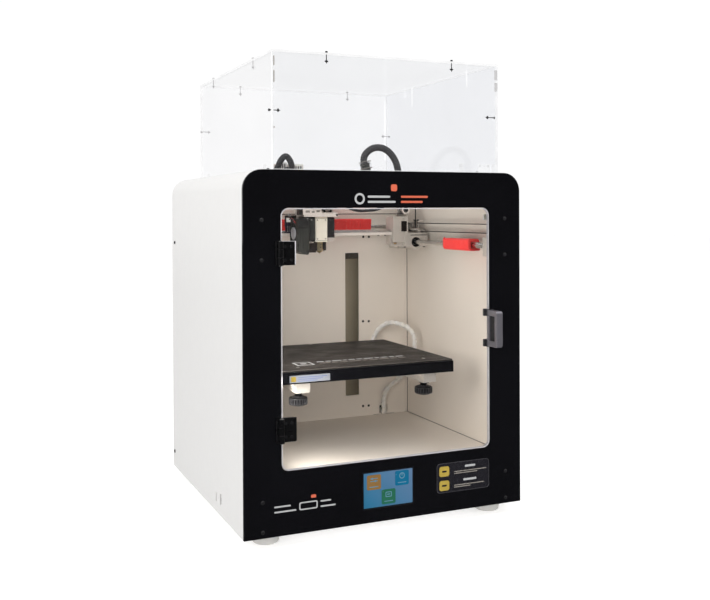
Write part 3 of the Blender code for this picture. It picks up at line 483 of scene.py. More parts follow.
def box(x0, x1, y0, y1, z0, z1, radius, segments=2):
    x0, x1 = sorted((x0, x1))
    shape = bmesh.new()
    bmesh.ops.create_cube(shape, size=1.0)
    for vert in shape.verts:
        x, y, z = vert.co
        vert.co = Vector((x0 + (x + 0.5) * (x1 - x0), y0 + (y + 0.5) * (y1 - y0),
                          z0 + (z + 0.5) * (z1 - z0)))
    return soften(shape, min(radius, 0.3 * min(x1 - x0, y1 - y0, z1 - z0)), segments)


def prism(outline, axis, start, end, radius=0, segments=2):
    start, end = sorted((start, end))
    shape = bmesh.new()
    face = shape.faces.new([shape.verts.new(on_axis(axis, *point, start)) for point in outline])
    grown = bmesh.ops.extrude_face_region(shape, geom=[face])
    moved = [g for g in grown["geom"] if isinstance(g, bmesh.types.BMVert)]
    bmesh.ops.translate(shape, verts=moved, vec=Vector(on_axis(axis, 0, 0, end - start)))
    return soften(shape, radius, segments, 40)


def join_rings(shape, low, high):
    """Quads between two rings of the same count."""
    count = len(low)
    for i in range(count):
        j = (i + 1) % count
        shape.faces.new((low[i], low[j], high[j], high[i]))


def skin(shape, rings, closed=False):
    """Joins rings in turn; the ends meet if closed, else are capped."""
    for low, high in zip(rings, rings[1:]):
        join_rings(shape, low, high)
    if closed:
        join_rings(shape, rings[-1], rings[0])
    else:
        shape.faces.new(rings[0][::-1])
        shape.faces.new(rings[-1])
    return shape


def ring_prism(outer, inner, axis, start, end, radius=0):
    """A frame between two outlines that have the same number of points."""
    start, end = sorted((start, end))
    shape = bmesh.new()
    rows = ((outer, start), (outer, end), (inner, end), (inner, start))
    rings = [[shape.verts.new(on_axis(axis, *point, along)) for point in line]
             for line, along in rows]
    return soften(skin(shape, rings, closed=True), radius, 1, 40)


def arc(across, up, radius, start, end, steps):
    points = []
    for i in range(steps + 1):
        angle = math.radians(start + (end - start) * i / steps)
        points.append((across + radius * math.cos(angle), up + radius * math.sin(angle)))
    return points


def rounded(left, right, low, high, radius, steps=5):
    """A rectangle's outline with round corners."""
    points = []
    for across, up, start, right_by, up_by in (
        (left, low, 180, 1, 1), (right, low, 270, -1, 1),
        (right, high, 0, -1, -1), (left, high, 90, 1, -1),
    ):
        centre = (across + right_by * radius, up + up_by * radius)
        points += arc(*centre, radius, start, start + 90, steps)
    return points


def inset(bounds, by, radius, steps):
    """The rounded outline of a rectangle drawn in by a distance on every side."""
    left, right, low, high = bounds
    return rounded(left + by, right - by, low + by, high - by, radius, steps)


def lathe(profile, axis, across, up, steps=24, closed=False, scale=None):
    """(along, radius) pairs turned about the axis. scale(row, angle) varies the radius."""
    shape = bmesh.new()
    rings = []
    for row, (along, radius) in enumerate(profile):
        ring_verts = []
        for i in range(steps):
            angle = 2 * math.pi * i / steps
            reach = radius * (scale(row, angle) if scale else 1)
            point = (across + reach * math.cos(angle), up + reach * math.sin(angle))
            ring_verts.append(shape.verts.new(on_axis(axis, *point, along)))
        rings.append(ring_verts)
    return skin(shape, rings, closed)


def rod(axis, across, up, start, end, radius, steps=24, chamfer=0.4):
    start, end = sorted((start, end))
    cut = min(chamfer, radius * 0.4, (end - start) * 0.3)
    profile = [(start, radius - cut), (start + cut, radius),
               (end - cut, radius), (end, radius - cut)]
    return lathe(profile, axis, across, up, steps)


def ring(axis, across, up, start, end, inner, outer, steps=28, cut=0.25):
    start, end = sorted((start, end))
    profile = [(start, inner), (start, outer - cut), (start + cut, outer),
               (end - cut, outer), (end, outer - cut), (end, inner)]
    return lathe(profile, axis, across, up, steps, True)


def smooth_path(points, per=10):
    """A Catmull-Rom curve through the points."""
    knots = [Vector(p) for p in points]
    knots = [knots[0] * 2 - knots[1]] + knots + [knots[-1] * 2 - knots[-2]]
    line = []
    for i in range(1, len(knots) - 2):
        a, b, c, d = knots[i - 1 : i + 3]
        for k in range(per):
            t = k / per
            line.append(0.5 * ((2 * b) + (c - a) * t + (2 * a - 5 * b + 4 * c - d) * t * t
                               + (3 * b - 3 * c + d - a) * t * t * t))
    line.append(knots[-2])
    return line


def even(line, step):
    """The same line with its points spaced evenly."""
    length = [0.0]
    for start, end in zip(line, line[1:]):
        length.append(length[-1] + (end - start).length)
    count = max(2, round(length[-1] / step))
    found, k = [], 0
    for i in range(count + 1):
        want = length[-1] * i / count
        while k < len(length) - 2 and length[k + 1] < want:
            k += 1
        span = length[k + 1] - length[k]
        found.append(line[k].lerp(line[k + 1], (want - length[k]) / span if span > 1e-9 else 0))
    return found


def frames(line):
    """Point, tangent, normal and side along a line, turning as little as possible."""
    found = []
    normal = None
    for i, point in enumerate(line):
        tangent = (line[min(i + 1, len(line) - 1)] - line[max(i - 1, 0)]).normalized()
        if normal is None:
            normal = tangent.orthogonal().normalized()
        normal = (normal - tangent * normal.dot(tangent)).normalized()
        found.append((point, tangent, normal, tangent.cross(normal)))
    return found


def tube(line, radius, steps=12, radius_at=None):
    """A round cable along the line, its UV map in decimetres of surface."""
    shape = bmesh.new()
    layer = shape.loops.layers.uv.new("UVMap")
    rings, runs = [], []
    stations = frames(line)
    run = 0.0
    for i, (point, _, normal, side) in enumerate(stations):
        if i:
            run += (point - stations[i - 1][0]).length
        runs.append(run)
        reach = radius_at(i) if radius_at else radius
        angles = [2 * math.pi * k / steps for k in range(steps)]
        rings.append([shape.verts.new(point + (normal * math.cos(a) + side * math.sin(a)) * reach)
                      for a in angles])
    for i, (low, high) in enumerate(zip(rings, rings[1:])):
        for k in range(steps):
            j = (k + 1) % steps
            face = shape.faces.new((low[k], low[j], high[j], high[k]))
            corners = ((k, i), (k + 1, i), (k + 1, i + 1), (k, i + 1))
            for loop, (around, along) in zip(face.loops, corners):
                loop[layer].uv = (around / steps * 2 * math.pi * radius * 0.01, runs[along] * 0.01)
    shape.faces.new(rings[0][::-1])
    shape.faces.new(rings[-1])
    return shape


def cable(points, radius, steps, spacing, per=10):
    """A tube on a smooth path through the points."""
    return tube(even(smooth_path(points, per), spacing), radius, steps)


def wrap(line, radius, pitch, width, thick, steps_per_turn=14):
    """A flat strip wound round a line, like spiral cable wrap."""
    shape = bmesh.new()
    half = width / 2
    section = ((-half, 0), (-half + 0.3, thick), (half - 0.3, thick), (half, 0))
    rows = []
    for i, (point, tangent, normal, side) in enumerate(frames(even(line, pitch / steps_per_turn))):
        angle = 2 * math.pi * i / steps_per_turn
        out = normal * math.cos(angle) + side * math.sin(angle)
        rows.append([shape.verts.new(point + out * (radius + up) + tangent * along)
                     for along, up in section])
    return skin(shape, rows)


DIRECTIONS = {"+x": (1, 0, 0), "-x": (-1, 0, 0), "+y": (0, 1, 0), "-y": (0, -1, 0),
              "+z": (0, 0, 1), "-z": (0, 0, -1)}


def turn_from_z(direction):
    return Vector((0, 0, 1)).rotation_difference(direction).to_matrix().to_4x4()


def aim(shape, at, direction):
    """Points a shape built along +z at the origin in a direction, from a layout point."""
    if isinstance(direction, str):
        way = Vector(DIRECTIONS[direction])
    else:
        way = Vector(direction).normalized()
    matrix = Matrix.Translation(Vector(at)) @ turn_from_z(way)
    bmesh.ops.transform(shape, matrix=matrix, verts=shape.verts[:])
    return shape


def turned(profile, at, direction, steps=24, closed=False, scale=None):
    """A lathe shape aimed from a point."""
    return aim(lathe(profile, "z", 0, 0, steps, closed, scale), at, direction)


def hexed(rows, divisor=1):
    """A lathe scale that makes some rows of the profile hexagonal."""
    def scale(row, angle):
        if row not in rows:
            return 1
        sixth = math.pi / 6
        return math.cos(sixth) / math.cos((angle % (math.pi / 3)) - sixth) / divisor
    return scale


def hex_recessed(profile, at, direction):
    """A head whose last three profile rows are a hexagonal recess."""
    rows = range(len(profile) - 3, len(profile))
    return turned(profile, at, direction, scale=hexed(rows))


def cap_screw(at, direction, radius, height, key, button=False):
    """A socket or button head with a hexagon recess sunk in its top."""
    if button:
        profile = [(0, radius * 0.98), (height * 0.25, radius), (height * 0.62, radius * 0.86),
                   (height * 0.88, radius * 0.62), (height, radius * 0.5)]
    else:
        cut = min(0.4, height * 0.3)
        profile = [(0, radius), (height - cut, radius), (height, radius - cut)]
    profile += [(height, key * 1.12), (height - 0.05, key),
                (height * 0.35, key), (height * 0.3, key * 0.3)]
    return hex_recessed(profile, at, direction)


def flat_screw(at, direction, radius, key):
    """A countersunk head, nearly flush, inside a thin raised rim."""
    profile = [(-0.6, radius * 0.7), (0, radius), (0.28, radius), (0.34, radius * 0.93),
               (0.12, radius * 0.84), (0.16, radius * 0.7), (0.16, key * 1.1),
               (0.1, key), (-0.5, key), (-0.55, key * 0.3)]
    return hex_recessed(profile, at, direction)


def nut(at, direction, radius, height, bore):
    profile = [(0, bore), (0, radius * 0.92), (height, radius * 0.92), (height, bore)]
    return turned(profile, at, direction, closed=True, scale=hexed((1, 2), math.cos(math.pi / 6)))


def washer(at, direction, radius, bore, height):
    profile = [(0, bore), (0, radius - 0.1), (0.1, radius), (height - 0.1, radius),
               (height, radius - 0.1), (height, bore)]
    return turned(profile, at, direction, closed=True)


def spring(x, y, z0, z1, radius, wire, turns):
    """A coil spring, its first turns the closest."""
    line = []
    count = int(turns * 16)
    for i in range(count + 1):
        t = i / count
        rise = 0.08 * t + 0.92 * (t * t * (3 - 2 * t))
        angle = 2 * math.pi * turns * t
        line.append(Vector((x + radius * math.cos(angle), y + radius * math.sin(angle),
                            z0 + (z1 - z0) * rise)))
    return tube(line, wire, 8)


def pill(left, right, low, high, y0=-0.22, y1=0.06, radius=None):
    """A thin bar on a front face, with fully round ends unless a radius is given."""
    if radius is None:
        radius = min(right - left, high - low) / 2 - 0.01
    return prism(rounded(left, right, low, high, radius, 6), "y", y0, y1, 0.05, 1)


# ---- runs of parts -------------------------------------------------------------------
def each(material, make, *rows):
    """One shape of the same kind and material from each row of arguments."""
    for row in rows:
        yield material, make(*row)


def boxes(*rows):
    """Blocks from (material, x0, x1, y0, y1, z0, z1, rounding[, segments])."""
    for material, *limits in rows:
        yield material, box(*limits)


def screws(material, direction, size, *points, button=False):
    for point in points:
        yield material, cap_screw(point, direction, *size, button=button)


# ---- pieces --------------------------------------------------------------------------
def assemble(name, body, parts, angle=34, slot=None, blend=None, replaces=()):
    """One visible piece from (material key, shape) pairs.

    It rides a body, or with blend=(first body, second body, start, end) rides none; the bodies and
    points in blend are not used.
    """
    whole = bmesh.new()
    slots = []
    for material, shape in parts:
        if material not in slots:
            slots.append(material)
        bmesh.ops.recalc_face_normals(shape, faces=shape.faces[:])
        for face in shape.faces:
            face.material_index = slots.index(material)
        hold = bpy.data.meshes.new("hold")
        shape.to_mesh(hold)
        shape.free()
        whole.from_mesh(hold)
        bpy.data.meshes.remove(hold)
    for vert in whole.verts:
        vert.co = in_frame(*vert.co)
    mesh = bpy.data.meshes.new(name)
    whole.to_mesh(mesh)
    whole.free()
    for material in slots:
        mesh.materials.append(MATERIALS[material])
    mesh.shade_smooth()
    mesh.set_sharp_from_angle(angle=math.radians(angle))
    made = bpy.data.objects.new(name, mesh)
    bpy.context.scene.collection.objects.link(made)
    if blend:
        first, second, start, end = blend
        in_frame(*start)
        in_frame(*end)
        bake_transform(made)
    else:
        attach(made, body)
    if replaces:
        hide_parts(*replaces)
    return made


def piece(body=None, **options):
    """Builds the decorated generator at once, as a piece with its name."""
    return lambda parts: assemble(parts.__name__, body, parts(), **options)


# ---- CAD pieces: finishes and rounded edges ---------------------------------------------
def dress(names, material, width, segments=2, angle=42):
    """Gives CAD nodes their finish, and real rounded edges where a width is set."""
    for name in names.split():
        ob = NODES[name]
        mesh = ob.data
        mesh.materials.clear()
        mesh.materials.append(MATERIALS[material])
        for polygon in mesh.polygons:
            polygon.material_index = 0
        for stored in ("custom_normal", "sharp_edge", "sharp_face"):
            attribute = mesh.attributes.get(stored)
            if attribute:
                mesh.attributes.remove(attribute)
        mesh.shade_smooth()
        weld = ob.modifiers.new("weld", "WELD")
        weld.merge_threshold = 0.000002
        if width:
            planar = ob.modifiers.new("planar", "DECIMATE")
            planar.decimate_type = "DISSOLVE"
            planar.angle_limit = math.radians(0.8)
            edge = ob.modifiers.new("edges", "BEVEL")
            edge.width = width * 0.001
            edge.segments = segments
            edge.limit_method = "ANGLE"
            edge.angle_limit = math.radians(angle)
            edge.use_clamp_overlap = True
            level = ob.modifiers.new("normals", "WEIGHTED_NORMAL")
            level.keep_sharp = False
            level.weight = 80
        else:
            split = ob.modifiers.new("split", "EDGE_SPLIT")
            split.split_angle = math.radians(angle)
            split.use_edge_sharp = False


# nodes, material, bevel width in mm (0 for none), bevel segments, edge angle
for row in (
    ("outer_casing chassis_pan", "white", 0.5),
    ("front_panel", "gloss", 0.45),
    ("chamber_liner chamber_floor", "liner", 0.4),
    ("foot_front_left foot_front_right foot_rear_left foot_rear_right", "rubber", 0.8, 3),
    ("hinge_upper_frame_leaf hinge_lower_frame_leaf", "hinge", 0.3),
    ("hinge_upper_door_leaf hinge_lower_door_leaf", "hinge", 0.3),
    ("z_rod_left z_rod_right y_rod_left y_rod_right", "steel", 0),
    ("y_end_block_left y_end_block_right drive_shaft_bracket", "alu", 0.5),
    ("power_inlet power_rocker", "plastic", 0.5),
    ("door_glass", "door_clear", 0.4),
    ("hood_back hood_left", "clear", 0.3, 1),
    ("hood_top", "clear_top", 0.3, 1),
    ("hood_front", "clear_front", 0.3, 1),
    ("hood_right", "clear_right", 0.3, 1),
    ("door_handle", "handle", 0.7, 3),
    ("z_carriage bed_frame", "alu", 0.6),
    ("heated_bed", "bed_black", 0.4),
    ("build_plate", "bed_top", 0.35),
    ("bed_knob_front_left bed_knob_front_right bed_knob_rear", "knob", 0.5, 2, 55),
    ("gantry_block_left gantry_block_right", "alu", 0.6),
    ("x_beam", "alu_white", 0.5),
    ("x_rail", "steel", 0.3),
    ("head_carriage", "alu_white", 0.45),
    ("hotend_cover", "cover", 1.2, 4),
    ("nozzle", "heat_brass", 0),
    ("blower_housing", "grey_plastic", 0.9, 3),
    ("transport_clip_x_left transport_clip_x_right", "red", 1.1, 3),
    ("transport_clip_y_left transport_clip_y_right", "red", 0.7, 3),
    # nodes whose detailed pieces replace them below
    ("touchscreen z_motor z_screw y_motor y_motor_pulley y_drive_shaft x_motor", "motor", 0),
    ("x_motor_pulley x_idler_pulley extruder_motor extruder_gear blower_rotor", "motor", 0),
):
    dress(*row)


# ---- case screws, seams and openings ------------------------------------------------
@piece("frame")
def case_side_screws():
    for side in (-1, 1):
        wall = side * CASE_SIDE
        yield from screws("screw_black", (side, 0, 0), CASE_BUTTON,
                          (wall, 375, 361.5), (wall, 381, 25), button=True)


@piece("frame")
def panel_screws():
    """Screws and washers down both edges of the front panel."""
    for x in (-178, 178):
        for z in (399, 348.5, 45, 7.6):
            yield "screw_black", cap_screw((x, 0.02, z), "-y", 2.35, 1.15, 1, button=True)
            yield "hinge", washer((x, 0.02, z), "-y", 2.95, 1.2, 0.28)


@piece("frame")
def rear_panel_screws():
    places = []
    for x in (-190, -95, 0, 95, 190):
        for z in (9, 452):
            # the top corner screws sit further in
            upper_corner = abs(x) > 180 and z > 400
            places.append((math.copysign(186, x), 440) if upper_corner else (x, z))
    places += [(x, z) for z in (110, 225, 340) for x in (-194, 194)]
    for x, z in places:
        yield from screws("screw_black", "+y", CASE_BUTTON, (x, CASE_BACK - 0.02, z), button=True)


@piece("frame")
def side_ports():
    """Card slot and service port behind the left side's openings."""
    yield from boxes(("pcb", -199.6, -197, 125, 138, 10, 30, 0.5),
                     ("plastic", -200.9, -198.6, 129.8, 133.4, 14.6, 25.4, 0.3),
                     ("plastic", -201.2, -198.8, 131, 132.3, 15.6, 24.4, 0.2),
                     ("pcb", -199.6, -197, 101, 116, 10, 34, 0.5))
    yield "screw", ring_prism(rounded(106, 111.2, 15.4, 29.6, 0.8, 3),
                              rounded(106.7, 110.5, 16.2, 28.8, 0.5, 3), "x", -201.6, -198.6)
    yield "plastic", box(-201, -198.6, 108.6, 109.9, 16.8, 28.2, 0.2)


@piece("frame")
def roof_flange():
    """Reinforcing flange and screws round the roof opening."""
    yield "white", ring_prism(rounded(-148, 148, 32, 353, 6, 4),
                              rounded(-139.6, 139.6, 40.4, 344.6, 3, 4), "z", 459.4, 461, 0.2)
    for x in (-144, -48, 48, 144):
        yield from screws("screw_black", "+z", (2.2, 1.2, 0.95),
                          (x, 36.2, CASE_TOP), (x, 348.8, CASE_TOP), button=True)


@piece("frame")
def foot_ribs_and_bolts():
    """Each foot's ribbed skirt and the screw that holds it."""
    for x in (-165, 165):
        for y in (30, 358):
            for z in (-4.4, -7.4, -10.4):
                radius = 18 + z * 0.085
                rib = [(z - 0.5, radius - 0.4), (z - 0.32, radius + 0.28),
                       (z + 0.32, radius + 0.32), (z + 0.5, radius - 0.35)]
                yield "rubber", lathe(rib, "z", x, y, 40, True)
            yield "screw", cap_screw((x, y, 1.5), "+z", 4.2, 2.6, 1.8, button=True)
            yield "galv", washer((x, y, 1.45), "+z", 6.5, 2.2, 0.9)


# ---- front print ----------------------------------------------------------------------
@piece("frame")
def panel_mark_upper():
    """An open ring and plain bars above the door."""
    yield "print", ring_prism(rounded(-51, -36.5, 418.6, 433.4, 7.2, 8),
                              rounded(-48.4, -39.1, 421.2, 430.8, 4.6, 8), "y", -0.22, 0.06)
    yield from each("print", pill, (-32.4, 8.4, 420.6, 423.4), (-32.4, 0.4, 427.4, 430.2))
    yield from each("print_orange", pill, (16.2, 56.6, 427.4, 430.2), (16.2, 48.8, 420.6, 423.4))
    yield "print_orange", pill(1.6, 10.6, 436.2, 445.2, radius=2.4)


@piece("frame")
def panel_mark_lower():
    """Plain bars and a rounded frame below the door's left half."""
    yield from each("print", pill, (-163, -133.5, 29.8, 31.8), (-163, -141, 36.4, 38.4))
    yield "print", ring_prism(rounded(-129.6, -104.5, 29.4, 39.6, 2.4),
                              rounded(-128, -106.1, 31, 38, 1.4), "y", -0.22, 0.06)
    yield from each("print", pill, (-100.6, -79.6, 30, 32), (-100.6, -86, 36.8, 38.8))
    yield "print_orange", pill(-113.6, -106.6, 43.4, 47.4, radius=1.4)


@piece("frame")
def information_plate():
    """A dark film with a light border, plain amber squares and bars."""
    yield "plate", prism(rounded(*INFO_PLATE, 5, 6), "y", -0.28, 0.05, 0.06, 1)
    yield "film_border", ring_prism(inset(INFO_PLATE, 0.35, 4.7, 6), inset(INFO_PLATE, 1, 4.1, 6),
                                    "y", -0.38, -0.2)
    for z in (48.2, 29):
        yield "print_amber", prism(rounded(72.6, 88, z, z + 13.6, 3), "y", -0.42, -0.2, 0.05, 1)
        yield "plate", prism(rounded(76.6, 84, z + 5.6, z + 8, 1.1, 4), "y", -0.5, -0.3)
    for z, left, right in ((59.4, 112.6, 128.8), (41, 110, 130.6)):
        yield "print", pill(left, right, z - 1.5, z + 1.4, -0.46, -0.2, 0.9)
    for z, left, right in ((53.2, 95.4, 146.4), (50.6, 95.4, 132),
                           (34.6, 95.4, 143), (32, 95.4, 121)):
        yield "scuff", pill(left, right, z - 0.5, z + 0.6, -0.42, -0.2, 0.5)


# ---- touch screen -------------------------------------------------------------------------
def menu_icon(tile, x, z):
    """The generic sign on each menu tile, about the tile's centre."""
    if tile == "tile_orange":
        yield from each("icon", pill, (x - 5.4, x + 5.4, z + 1, z + 2, 0.62, 0.78, 0.4),
                        (x - 5.4, x + 5.4, z + 4.4, z + 5.4, 0.62, 0.78, 0.4),
                        (x + 0.8, x + 3.4, z + 0.2, z + 2.8, 0.6, 0.76, 1.2),
                        (x - 3.8, x - 1.2, z + 3.6, z + 6.2, 0.6, 0.76, 1.2))
    elif tile == "tile_blue":
        yield "icon", ring_prism(arc(x, z + 3, 4.2, 0, 345, 23), arc(x, z + 3, 2.8, 0, 345, 23),
                                 "y", 0.62, 0.78)
        yield "icon", pill(x - 0.6, x + 0.6, z + 2.6, z + 6.6, 0.6, 0.76, 0.5)
    else:
        yield "icon", ring_prism(rounded(x - 4.6, x + 4.6, z - 0.6, z + 6.4, 1.2, 4),
                                 rounded(x - 3.5, x + 3.5, z + 0.5, z + 5.3, 0.6, 4),
                                 "y", 0.62, 0.78)
        yield "icon", pill(x - 2.2, x + 2.2, z + 2.3, z + 3.6, 0.6, 0.76, 0.5)


@piece("frame", slot="display", replaces=("touchscreen",))
def screen_image():
    """A bezel, a cover and a generic menu of three tiles."""
    outline = rounded(*SCREEN, 0.8, 3)
    yield "display", prism(outline, "y", 0.9, 5.6, 0.15, 1)
    yield "gloss", ring_prism(outline, inset(SCREEN, 0.9, 0.5, 3), "y", 0.35, 1, 0.1)
    yield "plastic", ring_prism(inset(SCREEN, -1.5, 1.4, 3), inset(SCREEN, -0.2, 0.6, 3),
                                "y", 4.3, 6.4)
    left, right, low, high = SCREEN
    # material, then the tile's centre as shares of the screen's width and height
    for tile, across, up in (("tile_orange", 0.215, 0.715), ("tile_blue", 0.775, 0.745),
                             ("tile_green", 0.505, 0.275)):
        x, z = left + (right - left) * across, low + (high - low) * up
        yield tile, prism(rounded(x - 10.2, x + 10.2, z - 9.8, z + 9.8, 2.2),
                          "y", 0.72, 0.95, 0.05, 1)
        yield from menu_icon(tile, x, z)
        yield "icon", pill(x - 6.4, x + 6.4, z - 6.6, z - 5.5, 0.62, 0.78, 0.5)


# ---- chamber ------------------------------------------------------------------------------
@piece("frame")
def chamber_back_holes():
    for x, z in ((104.8, 367.6), (115.2, 367.4), (103.8, 225.2), (114.4, 224.8), (103.2, 82.4),
                 (113.7, 82.3), (-104, 225), (-114.6, 225), (-104, 82.4), (-114.6, 82.4)):
        back = CHAMBER_BACK + 0.1
        yield "screw_black", ring("y", x, z, CHAMBER_BACK - 0.25, back, 1.15, 2.1, 20, 0.08)
        yield "screw_black", rod("y", x, z, CHAMBER_BACK - 0.12, back, 1.2, 16, 0.04)


@piece("frame")
def carriage_slot_backs_and_painted_shadow():
    """The backs of the two slots, standing in for the lit compartment with painted shade, and a dark
    strip of painted shadow across each top.
    """
    back = CHAMBER_BACK + 1.4
    for middle in (-SLOT_X, SLOT_X):
        left, right = middle - 12.1, middle + 12.1
        yield "slot_back_with_painted_shade", box(left, right, CHAMBER_BACK + 1.1, back, 102.4, 331, 0.05)
        yield "slot_top_painted_shadow", box(left, right, CHAMBER_BACK + 0.6, back, 331, 340.6, 0.1)


@piece("frame")
def chamber_seams_and_corner_shade():
    back, side, floor_z = CHAMBER_BACK, CHAMBER_SIDE, CHAMBER_FLOOR
    # the seam_shadow lines paint the shade along the right floor edge and in the back right corner
    yield from boxes(("scuff", -side, -side + 0.5, 8, back, floor_z, floor_z + 0.5, 0.15),
                     ("seam", side - 0.7, side, 8, back, floor_z, floor_z + 0.7, 0.12),
                     ("seam", side - 0.9, side, back - 0.9, back, floor_z, 352, 0.12),
                     ("hinge", 122, 132.4, back - 0.5, back, floor_z, floor_z + 0.5, 0.12),
                     ("hinge", 145.2, 161, back - 0.5, back, floor_z, floor_z + 0.5, 0.12),
                     ("hinge", 137.3, 137.9, back - 0.3, back, floor_z, 86, 0.1),
                     ("nylon", 155, 163.4, 18.6, 20.4, 397, 405, 0.3))
    for x in (-184.6, 184.6):
        yield "liner", box(x - 2.4, x + 2.4, back - 0.6, back, floor_z + 2, 452, 0.2)


@piece("frame")
def chamber_strip_light():
    yield "alu_white", box(-150, 150, 8, 12.5, 447, 451.5, 0.4)
    yield "led", box(-146, 146, 9, 12, 446.2, 447.2, 0.3)
    for i in range(30):
        x = -142 + i * 9.8
        yield "icon", box(x - 1.2, x + 1.2, 9.4, 11.6, 445.8, 446.4, 0.15)


# ---- door: rims with a painted highlight, hinge details, handle caps -----------------------
@piece("door")
def door_rims():
    outer = inset(DOOR, -0.15, DOOR_CORNER + 0.15, 8)
    inner = inset(DOOR, 0.8, DOOR_CORNER - 0.8, 8)
    # painted highlight: bright rings along the door sheet's polished edges, front and back
    for front, back in ((-0.12, 0.5), (3.5, 4.1)):
        yield "rim", ring_prism(outer, inner, "y", front, back, 0.05)


def hinge_plates(low, high, edge):
    """Edges with a painted highlight or plain black, the plate behind the sheet, and its screws and
    nuts.
    """
    yield from boxes((edge, -134.5, -132.9, -1.2, -0.32, low + 0.3, high + 0.3, 0.2),
                     (edge, -153.6, -134.6, -1.7, -0.34, high - 0.1, high + 0.35, 0.1),
                     ("hinge", -153.2, -134.7, 4.05, 5.6, low + 0.5, high - 0.5, 0.4))
    for z in (low + 6.5, high - 6.5):
        for x in (-147.6, -139.6):
            yield "screw_black", flat_screw((x, -1.7, z), "-y", 1.9, 0.8)
            yield "screw", nut((x, 5.5, z), "+y", 2.6, 1.8, 1)


def hinge_pin_caps(low, high):
    """Caps at both ends of the pin, and the frame leaf's edge and screws."""
    cap = [(0, 2.5), (0.5, 2.5), (0.8, 1.9), (0.8, 0.4)]
    yield "screw", turned(cap, (-155, -6, low + 0.02), "-z", 20)
    yield "screw", turned(cap, (-155, -6, high - 0.02), "+z", 20)
    yield "screw_black", box(-160, -158.9, -1.95, -1.6, low + 1, high - 1, 0.12)
    for z in (low + 7, high - 7):
        yield "screw_black", flat_screw((-158.3, -1.7, z), "-y", 1.35, 0.55)


HINGE_HEIGHT = 30.3
# the upper hinge's edges take the painted highlight; the lower hinge's edges stay plain black
for level, low, edge in (("lower", 118.4, "hinge"), ("upper", 341.7, "rim")):
    high = low + HINGE_HEIGHT
    assemble(f"hinge_{level}_plates", "door", hinge_plates(low, high, edge))
    assemble(f"hinge_{level}_pin_caps", "frame", hinge_pin_caps(low, high))


@piece("door")
def door_handle_caps():
    """Caps clamped on both faces of the sheet, a dark inner lining that is painted shade, and a pale
    edge strip that is a painted highlight.
    """
    for low, high in ((222.3, 229.2), (264.8, 271.7)):
        yield "plastic", box(147.2, 157.2, 4.2, 9, low - 1.6, high + 1.6, 0.9, 3)
        yield "plastic", box(147, 158.6, -1.3, -0.32, low - 1.2, high + 1.2, 0.4)
        yield "screw_black", cap_screw((152.2, 8.9, (low + high) / 2), "+y", 2.3, 1.6, 1)
    # painted shade: a dark lining on the handle's inner face
    yield "plastic", box(150.5, 153.6, -19.3, -5.7, 229.7, 264.3, 0.4)
    # painted highlight: a pale strip along the handle's outer edge
    yield "alu_white", box(157.9, 158.35, -24.4, -2, 225, 269, 0.2)


# ---- hood: sheet edges with a painted glow, T-slot joints ------------------------------------
@piece("hood")
def hood_sheet_edges():
    # the cut edges of the top sheet, each a thin glowing strip let into its border, a painted
    # highlight
    for limits in ((HOOD_LEFT, HOOD_RIGHT, HOOD_FRONT - 0.12, HOOD_FRONT + 0.5),
                   (HOOD_LEFT, HOOD_RIGHT, HOOD_BACK - 0.5, HOOD_BACK + 0.12),
                   (HOOD_LEFT - 0.12, HOOD_LEFT + 0.5, HOOD_FRONT, HOOD_BACK),
                   (HOOD_RIGHT - 0.5, HOOD_RIGHT + 0.12, HOOD_FRONT, HOOD_BACK)):
        yield "hood_edge_painted_glow", box(*limits, HOOD_TOP - 2.6, HOOD_TOP - 0.1, 0.2)
    upright = (HOOD_BASE + 0.4, HOOD_TOP - 3.5)
    lower = (HOOD_BASE + 0.25, HOOD_BASE + 0.75)
    for side, wall in ((-1, HOOD_LEFT), (1, HOOD_RIGHT)):
        # vertical edges of the front and back sheets, glowing at the corners as painted highlights
        for y in (HOOD_FRONT, HOOD_BACK - SHEET):
            brightest = y == HOOD_FRONT and side < 0
            yield ("hood_painted_glint" if brightest else "hood_edge_painted_glow",
                   box(wall + side * 0.12, wall - side * 0.5, y + 0.1, y + SHEET - 0.1,
                       *upright, 0.2))
        # butt joints between side and front or back sheets, then the lower edge, glowing as painted
        # highlights
        thickness = (wall - side * 0.1, wall - side * (SHEET - 0.1))
        for y in (HOOD_FRONT + SHEET + 0.15, HOOD_BACK - SHEET - 0.15):
            yield "hood_edge_painted_glow", box(*thickness, y - 0.16, y + 0.16, *upright, 0.06)
        yield "hood_edge_painted_glow", box(*thickness, HOOD_FRONT + 3.4, HOOD_BACK - 3.4, *lower, 0.15)
    for y in (HOOD_FRONT, HOOD_BACK - SHEET):
        yield "hood_edge_painted_glow", box(HOOD_LEFT + 0.4, HOOD_RIGHT - 0.4, y + 0.1, y + SHEET - 0.1,
                               *lower, 0.15)


def t_bolt(at, along, across, material="screw_black"):
    """A head outside, a thin shank in the slot and a square nut held in the cross cut.

    The nut's flat side faces the direction across.
    """
    point, axis, want = Vector(at), Vector(DIRECTIONS[along]), Vector(DIRECTIONS[across])
    yield material, cap_screw(point, along, 1.7, 2, 0.8)
    yield material, turned([(-14, 0.45), (-13.8, 0.62), (0, 0.62)], point, along, 12)
    block = box(-2.1, 2.1, -1.2, 1.2, -12, -10.2, 0.25, 1)
    turn = turn_from_z(axis)
    flat = turn @ Vector((0, 1, 0))
    cross = flat.cross(want)
    spin = math.copysign(flat.angle(want), cross.dot(axis)) if cross.length > 1e-6 else 0.0
    matrix = Matrix.Translation(point) @ Matrix.Rotation(spin, 4, axis) @ turn
    bmesh.ops.transform(block, matrix=matrix, verts=block.verts[:])
    yield material, block


